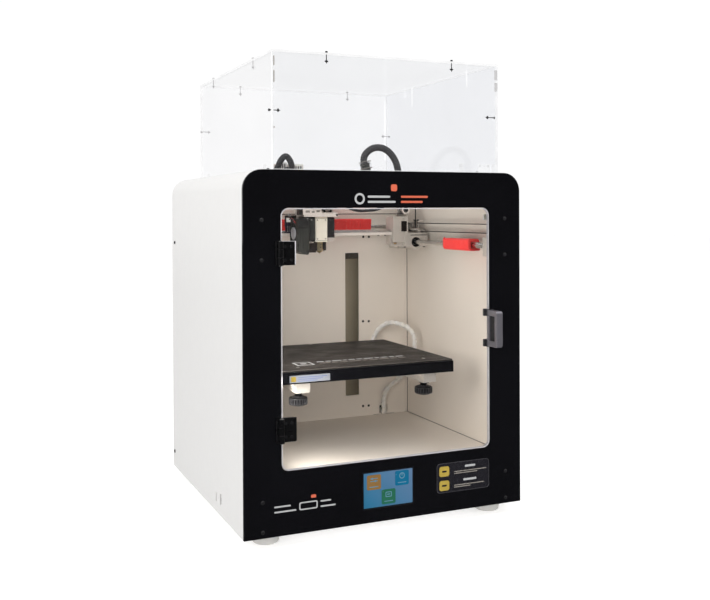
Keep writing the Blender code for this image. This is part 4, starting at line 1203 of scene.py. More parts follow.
@piece("hood")
def hood_joint_bolts():
    half = SHEET / 2
    for x in (-88, 96.5):
        yield from t_bolt((x, HOOD_FRONT + half, HOOD_TOP), "+z", "-y")
    for x in (-95.7, 94.8):
        yield from t_bolt((x, HOOD_BACK - half, HOOD_TOP), "+z", "+y", "faint")
    for y in (87, 289.6):
        yield from t_bolt((HOOD_LEFT + half, y, HOOD_TOP), "+z", "-x", "faint")
        # the right-hand top bolts glow, a painted glint
        yield from t_bolt((HOOD_RIGHT - half, y, HOOD_TOP), "+z", "+x", "hood_painted_glint")
    for z, wall, out in ((538.6, HOOD_LEFT, "-x"), (540.8, HOOD_RIGHT, "+x")):
        yield from t_bolt((wall, HOOD_FRONT + SHEET + 6.5, z), out, "+y")
        yield from t_bolt((wall, HOOD_BACK - SHEET - 6.5, z), out, "+y", "faint")


@piece("hood")
def hood_base_blocks():
    """Small clear angle blocks at the base, and eyelets behind the front's right end on small
    plates; blocks and plates glow as a painted highlight.
    """
    base = HOOD_BASE + 0.3
    for side, wall in ((-1, HOOD_LEFT), (1, HOOD_RIGHT)):
        inner = wall - side * (SHEET + 0.15)
        for y in (46, 330):
            yield "hood_edge_painted_glow", box(inner, wall - side * (SHEET + 9), y - 5, y + 5,
                                   base, HOOD_BASE + 2, 0.3)
            yield "hood_edge_painted_glow", box(inner, wall - side * (SHEET + 1.75), y - 5, y + 5,
                                   base, HOOD_BASE + 8, 0.3)
            at = (wall - side * (SHEET + 5.4), y, HOOD_BASE + 2)
            yield "screw_black", cap_screw(at, "+z", 1.9, 1.5, 0.9)
    front = HOOD_FRONT + SHEET
    for x, radius in ((112.6, 2.4), (143, 1.5), (149.5, 1.1), (156.2, 1.7), (164, 1.1)):
        yield "hood_edge_painted_glow", box(x - 3, x + 3, front + 0.2, front + 1.4, base, HOOD_BASE + 12, 0.3)
        yield ("faint" if radius > 2 else "screw_black",
               aim(ring("z", 0, 0, 0, 1.1, radius * 0.45, radius, 20, 0.15),
                   (x, front + 1.4, HOOD_BASE + 9.2), "+y"))


@piece("hood")
def hood_painted_glints_and_notches():
    """Painted glints: glowing strips at the inner joints and at the back right corner, and notches
    in the front sheet's corners.
    """
    inner = HOOD_FRONT + SHEET
    for x, low, high in ((121.5, 581, 605), (36.6, 551, 577), (-100.7, 486, 501)):
        yield "hood_painted_glint", box(x - 0.8, x + 0.8, inner + 0.02, inner + 0.25, low, high, 0.08)
    right, back = HOOD_RIGHT - SHEET, HOOD_BACK - SHEET
    yield "hood_painted_glint", box(right - 2.6, right - 0.1, back - 1.2, back - 0.2,
                            500, HOOD_TOP - 4, 0.1)
    notch = (HOOD_FRONT - 0.08, HOOD_FRONT + 0.3)
    for low, high in ((592, 606), (576.5, 588.5)):
        yield "faint", box(HOOD_RIGHT - 5.4, HOOD_RIGHT - 0.8, *notch, low, high, 0.12)
    for low, high in ((594, 606), (573, 588), (515, 517.2)):
        yield "scuff", box(HOOD_LEFT + 1.9, HOOD_LEFT + 3.3, *notch, low, high, 0.08)


# ---- bed ------------------------------------------------------------------------------------
@piece("bed")
def build_plate_edge():
    """A thin pale line just inside the plate's border."""
    bounds = (-BED_HALF, BED_HALF, BED_FRONT, BED_BACK)
    yield "scuff", ring_prism(inset(bounds, 1.05, 3, 4), inset(bounds, 1.75, 2.4, 4),
                              "z", BED_TOP - 0.05, BED_TOP + 0.08)


def dashes(material, widths, gap, front, back, radius):
    """A row of marks on the build plate, from left to right."""
    x = -56
    for width in widths:
        yield material, prism(rounded(x, x + width, front, back, radius, 3),
                              "z", BED_TOP - 0.04, BED_TOP + 0.07)
        x += width + gap


@piece("bed")
def build_plate_marks():
    """Pale generic marks at the front of the plate: a square outline and dashes."""
    low, high = BED_TOP - 0.04, BED_TOP + 0.07
    yield "print", ring_prism(rounded(-92, -66, 105, 132, 2, 4),
                              rounded(-89.4, -68.6, 107.8, 129.2, 1, 4), "z", low, high)
    yield "print", prism(rounded(-83.5, -74.5, 114, 123, 1.5, 3), "z", low, high)
    yield from dashes("print", (11, 8, 14, 6, 10, 9, 15, 7, 11, 8, 12), 2.6, 124, 129.4, 1.6)
    yield from dashes("scuff", (16, 9, 12, 18, 8, 13, 15, 10, 12), 2.8, 112, 115.6, 1.2)


@piece("bed")
def bed_front_label():
    """A sticker on the bed's front edge: plain bars and one amber square."""
    yield "label", prism(rounded(-118, -59.5, 179.2, 188.8, 0.8, 3),
                         "y", BED_FRONT - 0.3, BED_FRONT + 0.05, 0.05, 1)
    yield "print_amber", prism(rounded(-116, -109, 180.6, 187.4, 1.2, 3),
                               "y", BED_FRONT - 0.42, BED_FRONT - 0.25)
    for z, right in ((186, -64), (183.4, -70), (181, -78)):
        yield "label_ink", prism(rounded(-106, right, z - 0.55, z + 0.55, 0.4, 2),
                                 "y", BED_FRONT - 0.4, BED_FRONT - 0.25)


@piece("bed")
def bed_stud_heads():
    for _, x, y in KNOBS:
        yield "screw", flat_screw((x, y, BED_TOP - 0.02), "+z", 2.6, 1.1)


@piece("bed")
def bed_spring_washers():
    for _, x, y in KNOBS:
        if x:
            yield "alu_raw", ring("z", x, y, 160.9, 163.4, 3, 5.4, 24, 0.3)
        yield "screw", ring("z", x, y, 160.6, 161.2, 3, 7.2, 28, 0.15)


@piece("bed")
def bed_frame_details():
    """Arms: plate screws, side grooves and stud pads; then the cross bar bolts."""
    for x in (-97, 97):
        for y in (80.5, 145, 200, 250, 297.8):
            yield "screw_black", cap_screw((x, y, 163.48), "-z", 2.9, 2.2, 1.3)
            yield "screw", washer((x, y, 163.5), "-z", 3.6, 1.6, 0.4)
        for y0, y1 in ((158, 192), (208, 242), (258, 280)):
            for face in (-1, 1):
                yield "alu_raw", ring_prism(rounded(y0, y1, 166.2, 173.6, 3.6, 6),
                                            rounded(y0 + 0.8, y1 - 0.8, 167, 172.8, 2.9, 6),
                                            "x", x + face * 10.05, x + face * 9.7)
        yield "alu", box(x - 11.4, x + 11.4, 74, 104, 169.2, 176.9, 1.2, 3)
        yield "alu_white", box(x - 12.6, x + 12.6, 78, 102, 172.6, 177.2, 0.8)
    for x in (-60, 60):
        yield from screws("screw_black", "-z", (2.6, 2, 1.2), (x, 145, 164.48), (x, 297.8, 164.48))


@piece("bed")
def bed_wiring_block():
    """Heater wires and their strain relief at the rear right corner."""
    yield from boxes(("plastic", 92, 122, 276, 304, 168.5, 177.1, 1),
                     ("plastic", 100, 114, 300, 309, 170, 181, 1))
    yield from screws("screw_black", "-z", (2.2, 1.6, 1), (96, 280, 168.6), (118, 280, 168.6))
    for k, material in enumerate(("wire_red", "wire_black", "wire_white", "wire_white")):
        x = 99 + k * 3.2
        points = [(x, 240, 176), (x, 262, 174), (x, 278, 172.8)]
        yield material, cable(points, 1.1 if k < 2 else 0.7, 8, 3)
    yield "label", box(94, 118, 226, 242, 175.6, 177.2, 0.5)


@piece("bed")
def z_carriage_bearings_and_nut():
    """The carriage behind the back wall: bearings, lead-screw nut, clamp screws."""
    corners = [math.radians(45 + 90 * i) for i in range(4)]
    for side in (-1, 1):
        x = side * ROD_X
        # material, z0, z1, inner radius, outer radius, chamfer
        for material, *size, cut in (("alu_raw", 190, 206, 5.35, 14, 0.6),
                                     ("alu", 189.9, 191.6, 5.4, 16.6, 0.4),
                                     ("alu_raw", 134, 150.1, 5.35, 9.5, 0.5),
                                     ("steel", 193, 194.1, 9.4, 14.15, 0.15),
                                     ("steel", 202, 203.1, 9.4, 14.15, 0.15)):
            yield material, ring("z", x, ROD_Y, *size, 36, cut)
        for a in corners:
            at = (x + 12 * math.cos(a), ROD_Y + 12 * math.sin(a), 191.6)
            yield "screw_black", cap_screw(at, "+z", 1.6, 1.5, 0.8)
        for z in (158, 182):
            yield from screws("screw_black", "+y", (2.6, 2, 1.2),
                              (side * SLOT_X - 8, 369, z), (side * SLOT_X + 8, 369, z))
    yield "brass", ring("z", 0, ROD_Y, 190, 193.4, 4.7, 11.2, 36, 0.3)
    yield "brass", ring("z", 0, ROD_Y, 193, 204, 4.7, 7, 32, 0.4)
    for a in corners:
        at = (8.9 * math.cos(a), ROD_Y + 8.9 * math.sin(a), 193.4)
        yield "screw_black", cap_screw(at, "+z", 1.6, 1.5, 0.8)


# ---- levelling knobs ----------------------------------------------------------------------
def knob_grip(x, y):
    yield "plastic", ring("z", x, y, 154.9, 156.4, 4.6, 8.6, 32, 0.5)
    yield "plastic", ring("z", x, y, 143.9, 145.1, 4.4, 9.4, 36, 0.4)
    yield "screw", nut((x, y, 144.6), "-z", 3.2, 1.9, 1.7)
    yield "screw", rod("z", x, y, 141.6, 145.2, 1.5, 14, 0.3)

    def ripple(row, angle):
        return 1 + (0.012 * math.cos(30 * angle) if row in (1, 2) else 0)

    for z in (145.6, 153):
        band = [(z, 11.4), (z + 0.4, 12.65), (z + 1, 12.75), (z + 1.4, 11.6)]
        yield "plastic", lathe(band, "z", x, y, 60, True, ripple)
    for i in range(20):
        angle = 2 * math.pi * (i + 0.5) / 20
        at = (x + 12.35 * math.cos(angle), y + 12.35 * math.sin(angle))
        yield "plastic", rod("z", *at, 146.2, 154, 0.62, 8, 0.2)


for name, x, y in KNOBS:
    assemble(f"knob_{name}_grip", f"knob_{name}", knob_grip(x, y))
    coil = spring(x, y, 156.4, 163.2, radius=4.2, wire=0.42, turns=4)
    assemble(f"bed_spring_{name}", "bed", [("screw", coil)])


# ---- Z screw, coupler and motor ---------------------------------------------------------------
def thread(x, y, z0, z1, radius, depth, lead, starts, steps, per_turn):
    """A trapezoid-thread screw: the radius follows the turned angle along the length."""
    shape = bmesh.new()
    rows = []
    count = max(2, int((z1 - z0) / lead * per_turn))
    for i in range(count + 1):
        z = z0 + (z1 - z0) * i / count
        fade = min(1, (z - z0) / 1.5, (z1 - z) / 1.5)
        row = []
        for k in range(steps):
            angle = 2 * math.pi * k / steps
            phase = ((angle / (2 * math.pi) - z / lead) * starts) % 1
            crest = min(1, max(0, 1.6 - abs(phase - 0.5) * 5.2))
            reach = radius - depth * (1 - crest) * fade
            row.append(shape.verts.new((x + reach * math.cos(angle),
                                        y + reach * math.sin(angle), z)))
        rows.append(row)
    return skin(shape, rows)


@piece("z_screw", replaces=("z_screw",))
def z_screw_thread_and_coupler():
    profile = [(44.4, 2.8), (44.4, 8.9), (45, 9.5), (49.6, 9.5)]
    for k in range(5):
        z = 50 + k * 2.8
        profile += [(z, 9.5), (z + 0.05, 6.6), (z + 0.75, 6.6), (z + 0.8, 9.5)]
    profile += [(64.6, 9.5), (69.4, 9.5), (70, 8.9), (70, 3.9)]
    yield "steel", thread(0, ROD_Y, 69, 440, radius=4, depth=0.75, lead=8, starts=4,
                          steps=24, per_turn=16)
    yield "alu_raw", lathe(profile, "z", 0, ROD_Y, 36, True)
    yield "steel", rod("z", 0, ROD_Y, 54.5, 70.2, 3.3, 20)
    for z in (47.2, 66.8):
        for degrees in (0, 90):
            angle = math.radians(degrees)
            out = Vector((math.cos(angle), math.sin(angle), 0))
            yield "screw_black", cap_screw(Vector((0, ROD_Y, z)) + out * 8.9, out, 1.7, 1, 0.85)


def motor(axis, across, up, start, end, shaft_to, plug=4):
    """A square stepping motor on an axis; plug is its connector's height, 0 for none."""
    half = 42.3 / 2
    sign = 1 if shaft_to > end else -1
    face, back = (end, start) if sign > 0 else (start, end)
    out, inward = on_axis(axis, 0, 0, sign), on_axis(axis, 0, 0, -sign)

    def block(low, high, grow, corner):
        reach = half + grow
        outline = rounded(across - reach, across + reach, up - reach, up + reach, corner)
        return prism(outline, axis, low, high, 0.35)

    # end bells, then the middle with the fine plates of its stack
    length = end - start
    bell = min(10, length * 0.24)
    yield "alu_raw", block(start, start + bell, 0, 4.2)
    yield "alu_raw", block(end - bell, end, 0, 4.2)
    yield "motor", block(start + bell - 0.1, end - bell + 0.1, -0.35, 5.2)
    count = max(4, int((length - 2 * bell) / 2.4))
    for i in range(1, count):
        along = start + bell + (length - 2 * bell) * i / count
        yield "motor", block(along - 0.14, along + 0.14, -0.08, 5.2)
    # pilot ring and shaft
    middle = on_axis(axis, across, up, face)
    yield "alu_raw", turned([(-0.2, 11), (1.7, 11), (2, 10.7), (2, 6.4), (1.2, 6), (1.2, 3.1)],
                            middle, out, 36)
    reach = abs(shaft_to - face)
    yield "steel", turned([(0.4, 2.5), (reach - 0.4, 2.5), (reach, 2.15)], middle, out, 20)
    for i in (-15.5, 15.5):
        for j in (-15.5, 15.5):
            at = (across + i, up + j)
            yield "screw_black", cap_screw(on_axis(axis, *at, back), inward, 2.3, 0.9, 1,
                                           button=True)
            yield "screw_black", cap_screw(on_axis(axis, *at, face - sign * 0.1), out,
                                           2.5, 0.35, 1.25)
    if plug:
        along = end - 9.4 if sign < 0 else start + 3
        x0, y0, z0 = on_axis(axis, across - 8, up + half - 0.2, along)
        x1, y1, z1 = on_axis(axis, across + 8, up + half + plug, along + 6.4)
        yield "nylon", box(x0, x1, y0, y1, z0, z1, 0.5)


@piece("frame", replaces=("z_motor",))
def z_motor_detail():
    yield from motor("z", 0, ROD_Y, 2, 42, shaft_to=44.1, plug=4.5)


@piece("frame")
def z_rod_seats():
    """Rod seats on the floor and under the roof, and a bar beneath the roof."""
    for side in (-1, 1):
        x = side * ROD_X
        # seat's z0 and z1, flange's low face, screw's seat, screw direction
        for z0, z1, flange, seat, way in ((1.6, 12, 1.6, 4.6, "+z"), (446, 456, 453, 453, "-z")):
            yield "alu", ring("z", x, ROD_Y, z0, z1, 5.1, 10.5, 36, 0.6)
            yield "alu", box(x - 17, x + 17, 343, 361, flange, flange + 3, 0.5)
            yield from screws("screw_black", way, (2.3, 1.8, 1),
                              (x - 13, ROD_Y, seat), (x + 13, ROD_Y, seat))
    yield "alu", box(-75, 75, 328, 338, 452, 456.6, 0.6)


# ---- toothed pulleys and belts ----------------------------------------------------------------
def toothed(axis, across, up, middle, bore, hub=None, smooth=False):
    """A timing pulley: tread, two flanges and, with hub=(start, end, radius), a boss."""
    teeth, flange = 20, 7.6
    depth = 0 if smooth else 0.62

    def tread(row, angle):
        wave = 0.5 + 0.5 * math.tanh(3.2 * math.cos(teeth * angle))
        return 1 - depth / PULLEY_RADIUS * wave

    yield "alu_raw", lathe([(middle - 3.7, PULLEY_RADIUS), (middle + 3.7, PULLEY_RADIUS)],
                           axis, across, up, teeth * 4, False, tread)
    for end in (-1, 1):
        section = ((3.55, bore), (3.55, PULLEY_RADIUS + 0.15), (4, flange), (4.75, flange),
                   (4.8, flange - 0.2), (4.8, bore))
        profile = [(middle + end * along, radius) for along, radius in section]
        yield "alu_raw", lathe(profile, axis, across, up, 40, True)
    if hub:
        start, end, radius = hub
        yield "alu_raw", ring(axis, across, up, start, end, bore, radius, 32, 0.3)
        for degrees in (0, 90):
            cosine, sine = math.cos(math.radians(degrees)), math.sin(math.radians(degrees))
            at = on_axis(axis, across + cosine * (radius - 0.5), up + sine * (radius - 0.5),
                         (start + end) / 2)
            yield "screw_black", cap_screw(at, on_axis(axis, cosine, sine, 0), 1.3, 0.7, 0.7)


def belt(axis, first, second, start, end):
    """A toothed belt round two equal pulleys, centred on first and second."""
    start, end = sorted((start, end))
    thick, pitch, tooth_depth = 1.38, 2, 0.62
    step = pitch / 6
    first, second = Vector(first), Vector(second)
    way = second - first
    way.normalize()
    normal = Vector((-way.y, way.x)) * PULLEY_RADIUS
    base = math.atan2(way.y, way.x)
    # points round the loop, each with its outward direction
    loop = []

    def run(tail, head):
        count = max(2, int((head - tail).length / step))
        along = (head - tail).normalized()
        out = Vector((along.y, -along.x))
        for i in range(count):
            loop.append((tail.lerp(head, i / count), out))

    def turn(centre, angle):
        count = int(math.pi * PULLEY_RADIUS / step)
        for i in range(count):
            now = angle + math.pi * i / count
            out = Vector((math.cos(now), math.sin(now)))
            loop.append((centre + out * PULLEY_RADIUS, out))

    run(first - normal, second - normal)
    turn(second, base - math.pi / 2)
    run(second + normal, first + normal)
    turn(first, base + math.pi / 2)
    shape = bmesh.new()
    rows = []
    for i, (point, out) in enumerate(loop):
        tooth = tooth_depth if (i * step / pitch) % 1 < 0.5 else 0
        inner = point - out * (tooth - 0.05)
        outer = point + out * (thick - tooth_depth)
        corners = ((inner, start), (outer, start), (outer, end), (inner, end))
        rows.append([shape.verts.new(on_axis(axis, *p, along)) for p, along in corners])
    return skin(shape, rows, closed=True)


# ---- Y axis: shaft, front idlers, belts, motor ------------------------------------------------
@piece("drive_shaft", replaces=("y_drive_shaft",))
def y_shaft_and_pulleys():
    yield "shaft", rod("x", SHAFT_Y, SHAFT_Z, -183, 183, 4, 32)
    for x, hub in ((-Y_BELT_X, None), (Y_BELT_X, None), (Y_MOTOR_BELT_X, (-114.1, -108.5, 6))):
        yield from toothed("x", SHAFT_Y, SHAFT_Z, x, 4, hub)
    # collars with their set screws
    for x in (-149, 149, -25, 25):
        yield "alu_raw", ring("x", SHAFT_Y, SHAFT_Z, x - 3, x + 3, 4, 7.4, 32, 0.4)
        yield "screw_black", cap_screw((x, SHAFT_Y, SHAFT_Z + 7), "+z", 1.4, 0.7, 0.75)


@piece("frame")
def y_axis_supports():
    cheek = rounded(10.2, 27, 375, 393, 3, 4)
    for side in (-1, 1):
        out, inward = (side, 0, 0), (-side, 0, 0)
        # bearing rings in the cheeks that hold the shaft, and the bracket's screws
        yield "steel", ring("x", SHAFT_Y, SHAFT_Z, side * 151.6, side * 152.2, 4.5, 6.8, 36, 0.1)
        yield "steel", ring("x", SHAFT_Y, SHAFT_Z, side * 168 - 0.2, side * 168 + 0.4,
                            4.5, 5.6, 36, 0.1)
        yield from screws("screw_black", inward, MEDIUM_CAP, (side * 152, 303, 354),
                          (side * 152, 303, 386), (side * 152, 288, 353))
        yield from screws("screw_black", "-y", SMALL_CAP, (side * 140, 317, 373.4),
                          (side * 100, 317, 373.4), (side * 40, 317, 373.4))
        # front idler between two cheeks, on a pin
        yield "alu", prism(cheek, "x", side * 168.6, side * 169.6, 0.15, 1)
        yield "alu", prism(cheek, "x", side * 179.4, side * 180.4, 0.15, 1)
        yield "alu", box(side * 168.6, side * 180.4, 9.6, 11.4, 375, 393, 0.3)
        pin = (FRONT_IDLER_Y, SHAFT_Z)
        yield from toothed("x", *pin, side * Y_BELT_X, 1.6)
        yield "steel", rod("x", *pin, side * 167.4, side * 181.6, 1.5, 18, 0.3)
        yield "screw", nut((side * 180.4, *pin), out, 2.9, 2, 1.5)
        yield "screw_black", cap_screw((side * 168.6, *pin), inward, 2.6, 1.9, 1.2)
        # end block screws, the rod's clamp and the brass adjuster
        yield from screws("screw_black", "+y", SMALL_CAP,
                          (side * 156.6, 20, 349), (side * 167.6, 20, 349))
        yield "brass", rod("y", side * 160, 366.6, 19.8, 22, 1.7, 16, 0.3)
        rail = (side * Y_ROD_X, Y_ROD_Z)
        yield "alu_raw", ring("y", *rail, 19.9, 20.9, 4.35, 6.4, 36, 0.2)
        yield "alu_raw", ring("y", *rail, 282.65, 283.1, 4.35, 6.4, 36, 0.1)
        yield from screws("screw_black", "+y", SMALL_CAP,
                          (side * 182.5, 10, 353), (side * 182.5, 10, 390))


@piece("frame")
def y_axis_belts():
    shaft = (SHAFT_Y, SHAFT_Z)
    for x, first, second in ((-Y_BELT_X, (FRONT_IDLER_Y, SHAFT_Z), shaft),
                             (Y_BELT_X, (FRONT_IDLER_Y, SHAFT_Z), shaft),
                             (Y_MOTOR_BELT_X, shaft, (Y_MOTOR_Y, SHAFT_Z))):
        yield "belt", belt("x", first, second, x - 3, x + 3)


@piece("y_motor_pulley", replaces=("y_motor_pulley",))
def y_motor_pulley_teeth():
    yield from toothed("x", Y_MOTOR_Y, SHAFT_Z, Y_MOTOR_BELT_X, 2.52)


@piece("frame", replaces=("y_motor",))
def y_motor_detail():
    """The Y motor with its bracket."""
    yield from motor("x", Y_MOTOR_Y, SHAFT_Z, -110, -70, shaft_to=-125)
    yield "alu", ring_prism(rounded(326.5, 373.5, 360.5, 407.5, 3, 4),
                            rounded(338.5, 361.5, 372.5, 395.5, 11.4, 4),
                            "x", -113, -110.2, 0.2)
    yield "alu", box(-113, -70, 323.8, 327.2, 357, 411, 0.5)
    for y in (334.5, 365.5):
        yield from screws("screw_black", "-x", (2.7, 2.4, 1.25),
                          (-113, y, 368.5), (-113, y, 399.5))


# ---- gantry -------------------------------------------------------------------------------------
@piece("gantry")
def gantry_fasteners():
    adjuster = [(-0.5, 2.9), (0.6, 2.9), (0.9, 2.6), (0.9, 0.6), (0.3, 0.5)]
    for side in (-1, 1):
        # linear bearing seals and seats in both ends of each housing
        rail = (side * Y_ROD_X, Y_ROD_Z)
        yield "hinge", ring("y", *rail, 239.4, 240.9, 4.35, 7.9, 40, 0.3)
        yield "hinge", ring("y", *rail, 235.1, 239.6, 7.5, 7.98, 40, 0.1)
        yield "plastic", ring("y", *rail, 272.9, 274.4, 4.35, 8.6, 40, 0.3)
        # housing seam and joint screws
        yield "hinge", box(side * 150, side * 181, 234.75, 235.1, 371, 372.1, 0.1)
        for y in (242, 266):
            yield from screws("screw_black", "-z", (2, 1.6, 1),
                              (side * 178, y, 353.05), (side * 143, y, 353.05))
        yield "screw_black", cap_screw((side * 176.5, 234.95, 358.5), "-y", 1.5, 0.5, 0.8)
        # the brass adjusting screw low on the front, with its slot
        yield "brass", turned(adjuster, (side * 124.8, 240.9, 359.9), "-y")
        yield "hinge", box(side * 124.8 - 2.4, side * 124.8 + 2.4, 239.9, 240.05,
                           359.6, 360.2, 0.04)
        # belt clamp on the outer shelf
        yield "alu", box(side * 169.6, side * 179.4, 246, 262.5, 391.9, 394.9, 0.5)
        for y in (248.5, 260):
            yield "screw", rod("z", side * 169.7, y, 379, 394.6, 1.3, 14, 0.2)
            yield "screw_black", cap_screw((side * 170.2, y, 394.9), "+z", 2.1, 1.6, 1)
        yield "alu", box(side * 171 - 0.8, side * 171 + 0.8, 248, 260.5, 379.4, 392.2, 0.3)
        # beam screws
        yield from screws("screw_black", "-z", (1.8, 1.4, 0.9),
                          (side * 112, 251, 372.2), (side * 100, 251, 372.2))
    rail_screw = [(-0.4, 1.9), (0.05, 1.9), (0.06, 1.2), (-0.3, 1.1), (-0.35, 0.4)]
    for i in range(13):
        yield "screw_black", turned(rail_screw, (-108 + i * 18, 251, 380.3), "+z", 18)


@piece("gantry")
def gantry_block_details():
    for side in (-1, 1):
        yield "screw", cap_screw((side * 137.4, 236, 398.8), "-y", 1.5, 1, 0.75)
        yield "alu_raw", box(side * 117, side * 119.2, 240.7, 241.1, 354.5, 368, 0.1)
    # painted shade: dark sheets lining the back and sides of the pocket beside the right upright
    yield from each("brown_plastic", box, (134.1, 143.8, 243, 243.4, 377.7, 394.2, 0.1),
                    (134.05, 134.3, 236.4, 243.2, 377.7, 394.2, 0.08),
                    (143.6, 143.85, 236.4, 243.2, 377.7, 394.2, 0.08))
    # a round boss on the right clamp shelf
    yield "alu", lathe([(379.4, 8.4), (380.6, 8.5), (381.8, 8), (382, 2.4)], "z", 169, 254, 36)


@piece("x_idler", replaces=("x_idler_pulley",))
def x_idler_bearing():
    at = (X_IDLER_X, X_BELT_Z)
    yield from toothed("y", *at, X_BELT_Y, 2.62, smooth=True)
    yield "alu_white", ring("y", *at, X_BELT_Y - 5, X_BELT_Y - 4.4, 2.6, 6.6, 36, 0.1)
    yield "plastic", ring("y", *at, X_BELT_Y - 5.2, X_BELT_Y - 4.7, 2.6, 4.4, 36, 0.1)


@piece("gantry")
def x_axis_belt():
    """The X belt with the idler's screw and washer."""
    head = [(-0.2, 2.35), (0.9, 2.4), (1.3, 2), (1.3, 1.1), (0.5, 1), (0.45, 0.3)]
    yield "screw_black", turned(head, (X_IDLER_X, X_BELT_Y - 5.2, X_BELT_Z), "-y", 28,
                                scale=hexed((3, 4)))
    yield "screw", washer((X_IDLER_X, 244.6, X_BELT_Z), "-y", 4.6, 2.42, 0.25)
    yield "belt", belt("y", (X_MOTOR_X, X_BELT_Z), (X_IDLER_X, X_BELT_Z),
                       X_BELT_Y - 3, X_BELT_Y + 3)


@piece("x_motor_pulley", replaces=("x_motor_pulley",))
def x_motor_pulley_teeth():
    yield from toothed("y", X_MOTOR_X, X_BELT_Z, X_BELT_Y, 2.52)


@piece("gantry", replaces=("x_motor",))
def x_motor_detail():
    yield from motor("y", X_MOTOR_X, X_BELT_Z, 254.6, 285.4, shaft_to=233.5)
    for x in (X_MOTOR_X - 15.5, X_MOTOR_X + 15.5):
        yield from screws("screw_black", "-y", (2.7, 2.4, 1.25),
                          (x, 250, X_BELT_Z - 15.5), (x, 250, X_BELT_Z + 15.5))


# ---- transport clips: thumb ribs and spring ends --------------------------------------------------
def clip_x_ribs(side):
    for i in range(7):
        x = side * (52 + i * 6)
        yield "red", box(x - 0.9, x + 0.9, 283.5, 284.3, 382.5, 395.5, 0.3)
        yield "red", box(x - 0.9, x + 0.9, 286, 298, 397.5, 398.2, 0.25)
    for x in (side * 38.4, side * 102):
        yield "red", box(x - 0.9, x + 0.9, 284.6, 299.4, 388.9, 397.7, 0.4)


# (x, z) outlines on the right side
CLIP_TIP = ((152.4, 353.4), (153.8, 352.1), (168.6, 352.1), (170.3, 355.2), (169.2, 355.2),
            (168, 353.4))
CLIP_END = ((150.7, 356), (153.3, 352.3), (154.4, 352.3), (151.9, 356.2), (151.9, 367),
            (154, 370.5), (153, 370.6), (150.7, 368))


def clip_y_ribs(side):
    # the tip beneath the clip takes the darker red, painted shade
    yield "red_painted_shade", prism([(side * x, z) for x, z in CLIP_TIP], "y", 52, 130, 0.25)
    for y in (53.2, 127.2):
        yield "red", prism([(side * x, z) for x, z in CLIP_END], "y", y, y + 1.6, 0.15, 1)
    for i in range(9):
        y = 61 + i * 7.4
        yield "red", box(side * 150.55, side * 151.2, y - 0.8, y + 0.8, 357.5, 366.5, 0.2)


for name, side in SIDES:
    assemble(f"clip_x_{name}_ribs", f"clip_x_{name}", clip_x_ribs(side))
    assemble(f"clip_y_{name}_ribs", f"clip_y_{name}", clip_y_ribs(side))


# ---- head -----------------------------------------------------------------------------------------
@piece("blower_rotor", replaces=("blower_rotor",))
def blower_blades_and_hub():
    """A ring of curved blades and a blank silver hub."""
    centre = (BLOWER_Y, BLOWER_Z)
    core = [(-57.6, 8.6), (-57.2, 8.8), (-45.4, 8.8), (-44.1, 9.6), (-43.8, 13.6), (-42.1, 13.6)]
    yield "plastic", lathe(core, "x", *centre, 36)
    yield "hub", lathe([(-58.8, 2), (-58.8, 9.1), (-58.4, 9.4), (-57.3, 9.3)], "x", *centre, 40)
    yield "print", ring("x", *centre, -58.9, -58.7, 7.4, 8.1, 40, 0.04)
    yield "plastic", ring("x", *centre, -55.4, -54.2, 12.9, 13.9, 44, 0.2)
    for i in range(26):
        start = 2 * math.pi * i / 26
        front = []
        for k in range(5):
            share = k / 4
            radius, angle = 9.2 + 4.4 * share, start + 0.34 * share * share
            front.append((BLOWER_Y + radius * math.cos(angle),
                          BLOWER_Z + radius * math.sin(angle)))
        shift = (0.42 * math.cos(start + 1.57), 0.42 * math.sin(start + 1.57))
        back = [(y + shift[0], z + shift[1]) for y, z in front]
        yield "grey_plastic", prism(front + back[::-1], "x", -55.2, -43.6)


@piece("head")
def blower_housing_details():
    """Parting seams, inlet lip, ribs, screws and the side plate."""
    yield "grey_plastic", ring("x", BLOWER_Y, BLOWER_Z, -58.5, -57.6, 14.5, 16, 48, 0.3)
    yield from boxes(("hinge", -48.6, -48.2, 198.8, 199.2, 352, 399, 0.1),
                     ("hinge", -57.6, -38.8, 198.85, 199.15, 385.2, 385.9, 0.1),
                     ("grey_plastic", -54.8, -51, 198.55, 199.1, 354, 383.5, 0.25),
                     ("grey_plastic", -46.4, -41.6, 198.55, 199.1, 350.5, 383.5, 0.25),
                     ("hinge", -38.5, -37.4, 201, 206.2, 366, 399, 0.2),
                     ("grey_plastic", -28.6, -28, 205.6, 206.1, 367, 399, 0.1),
                     ("brown_plastic", -30.6, -20.4, 218, 229, 347.4, 361.8, 0.7),
                     ("plastic", -29.6, -21.4, 217.6, 218.1, 352.6, 353.4, 0.1))
    for i in range(7):
        z = 388.4 + i * 1.55
        yield "plastic", box(-56.4, -40.4, 197.9, 199.2, z - 0.4, z + 0.4, 0.15)
    head = [(-0.3, 1.5), (0.7, 1.5), (1, 1.2), (1, 0.8), (0.4, 0.7), (0.35, 0.3)]
    for x, z, material in ((-41.2, 398, "screw"), (-56, 397.6, "screw_black"),
                           (-56, 360, "screw_black"), (-40.6, 349.4, "screw_black")):
        yield material, turned(head, (x, 198.9, z), "-y", 20, scale=hexed((3, 4)))
    head = [(-0.3, 1.4), (0.6, 1.4), (0.9, 1.1), (0.9, 0.7), (0.4, 0.6), (0.35, 0.3)]
    for x, z in ((-32.6, 397.4), (-34, 364.2)):
        yield "screw", turned(head, (x, 206, z), "-y", 20)


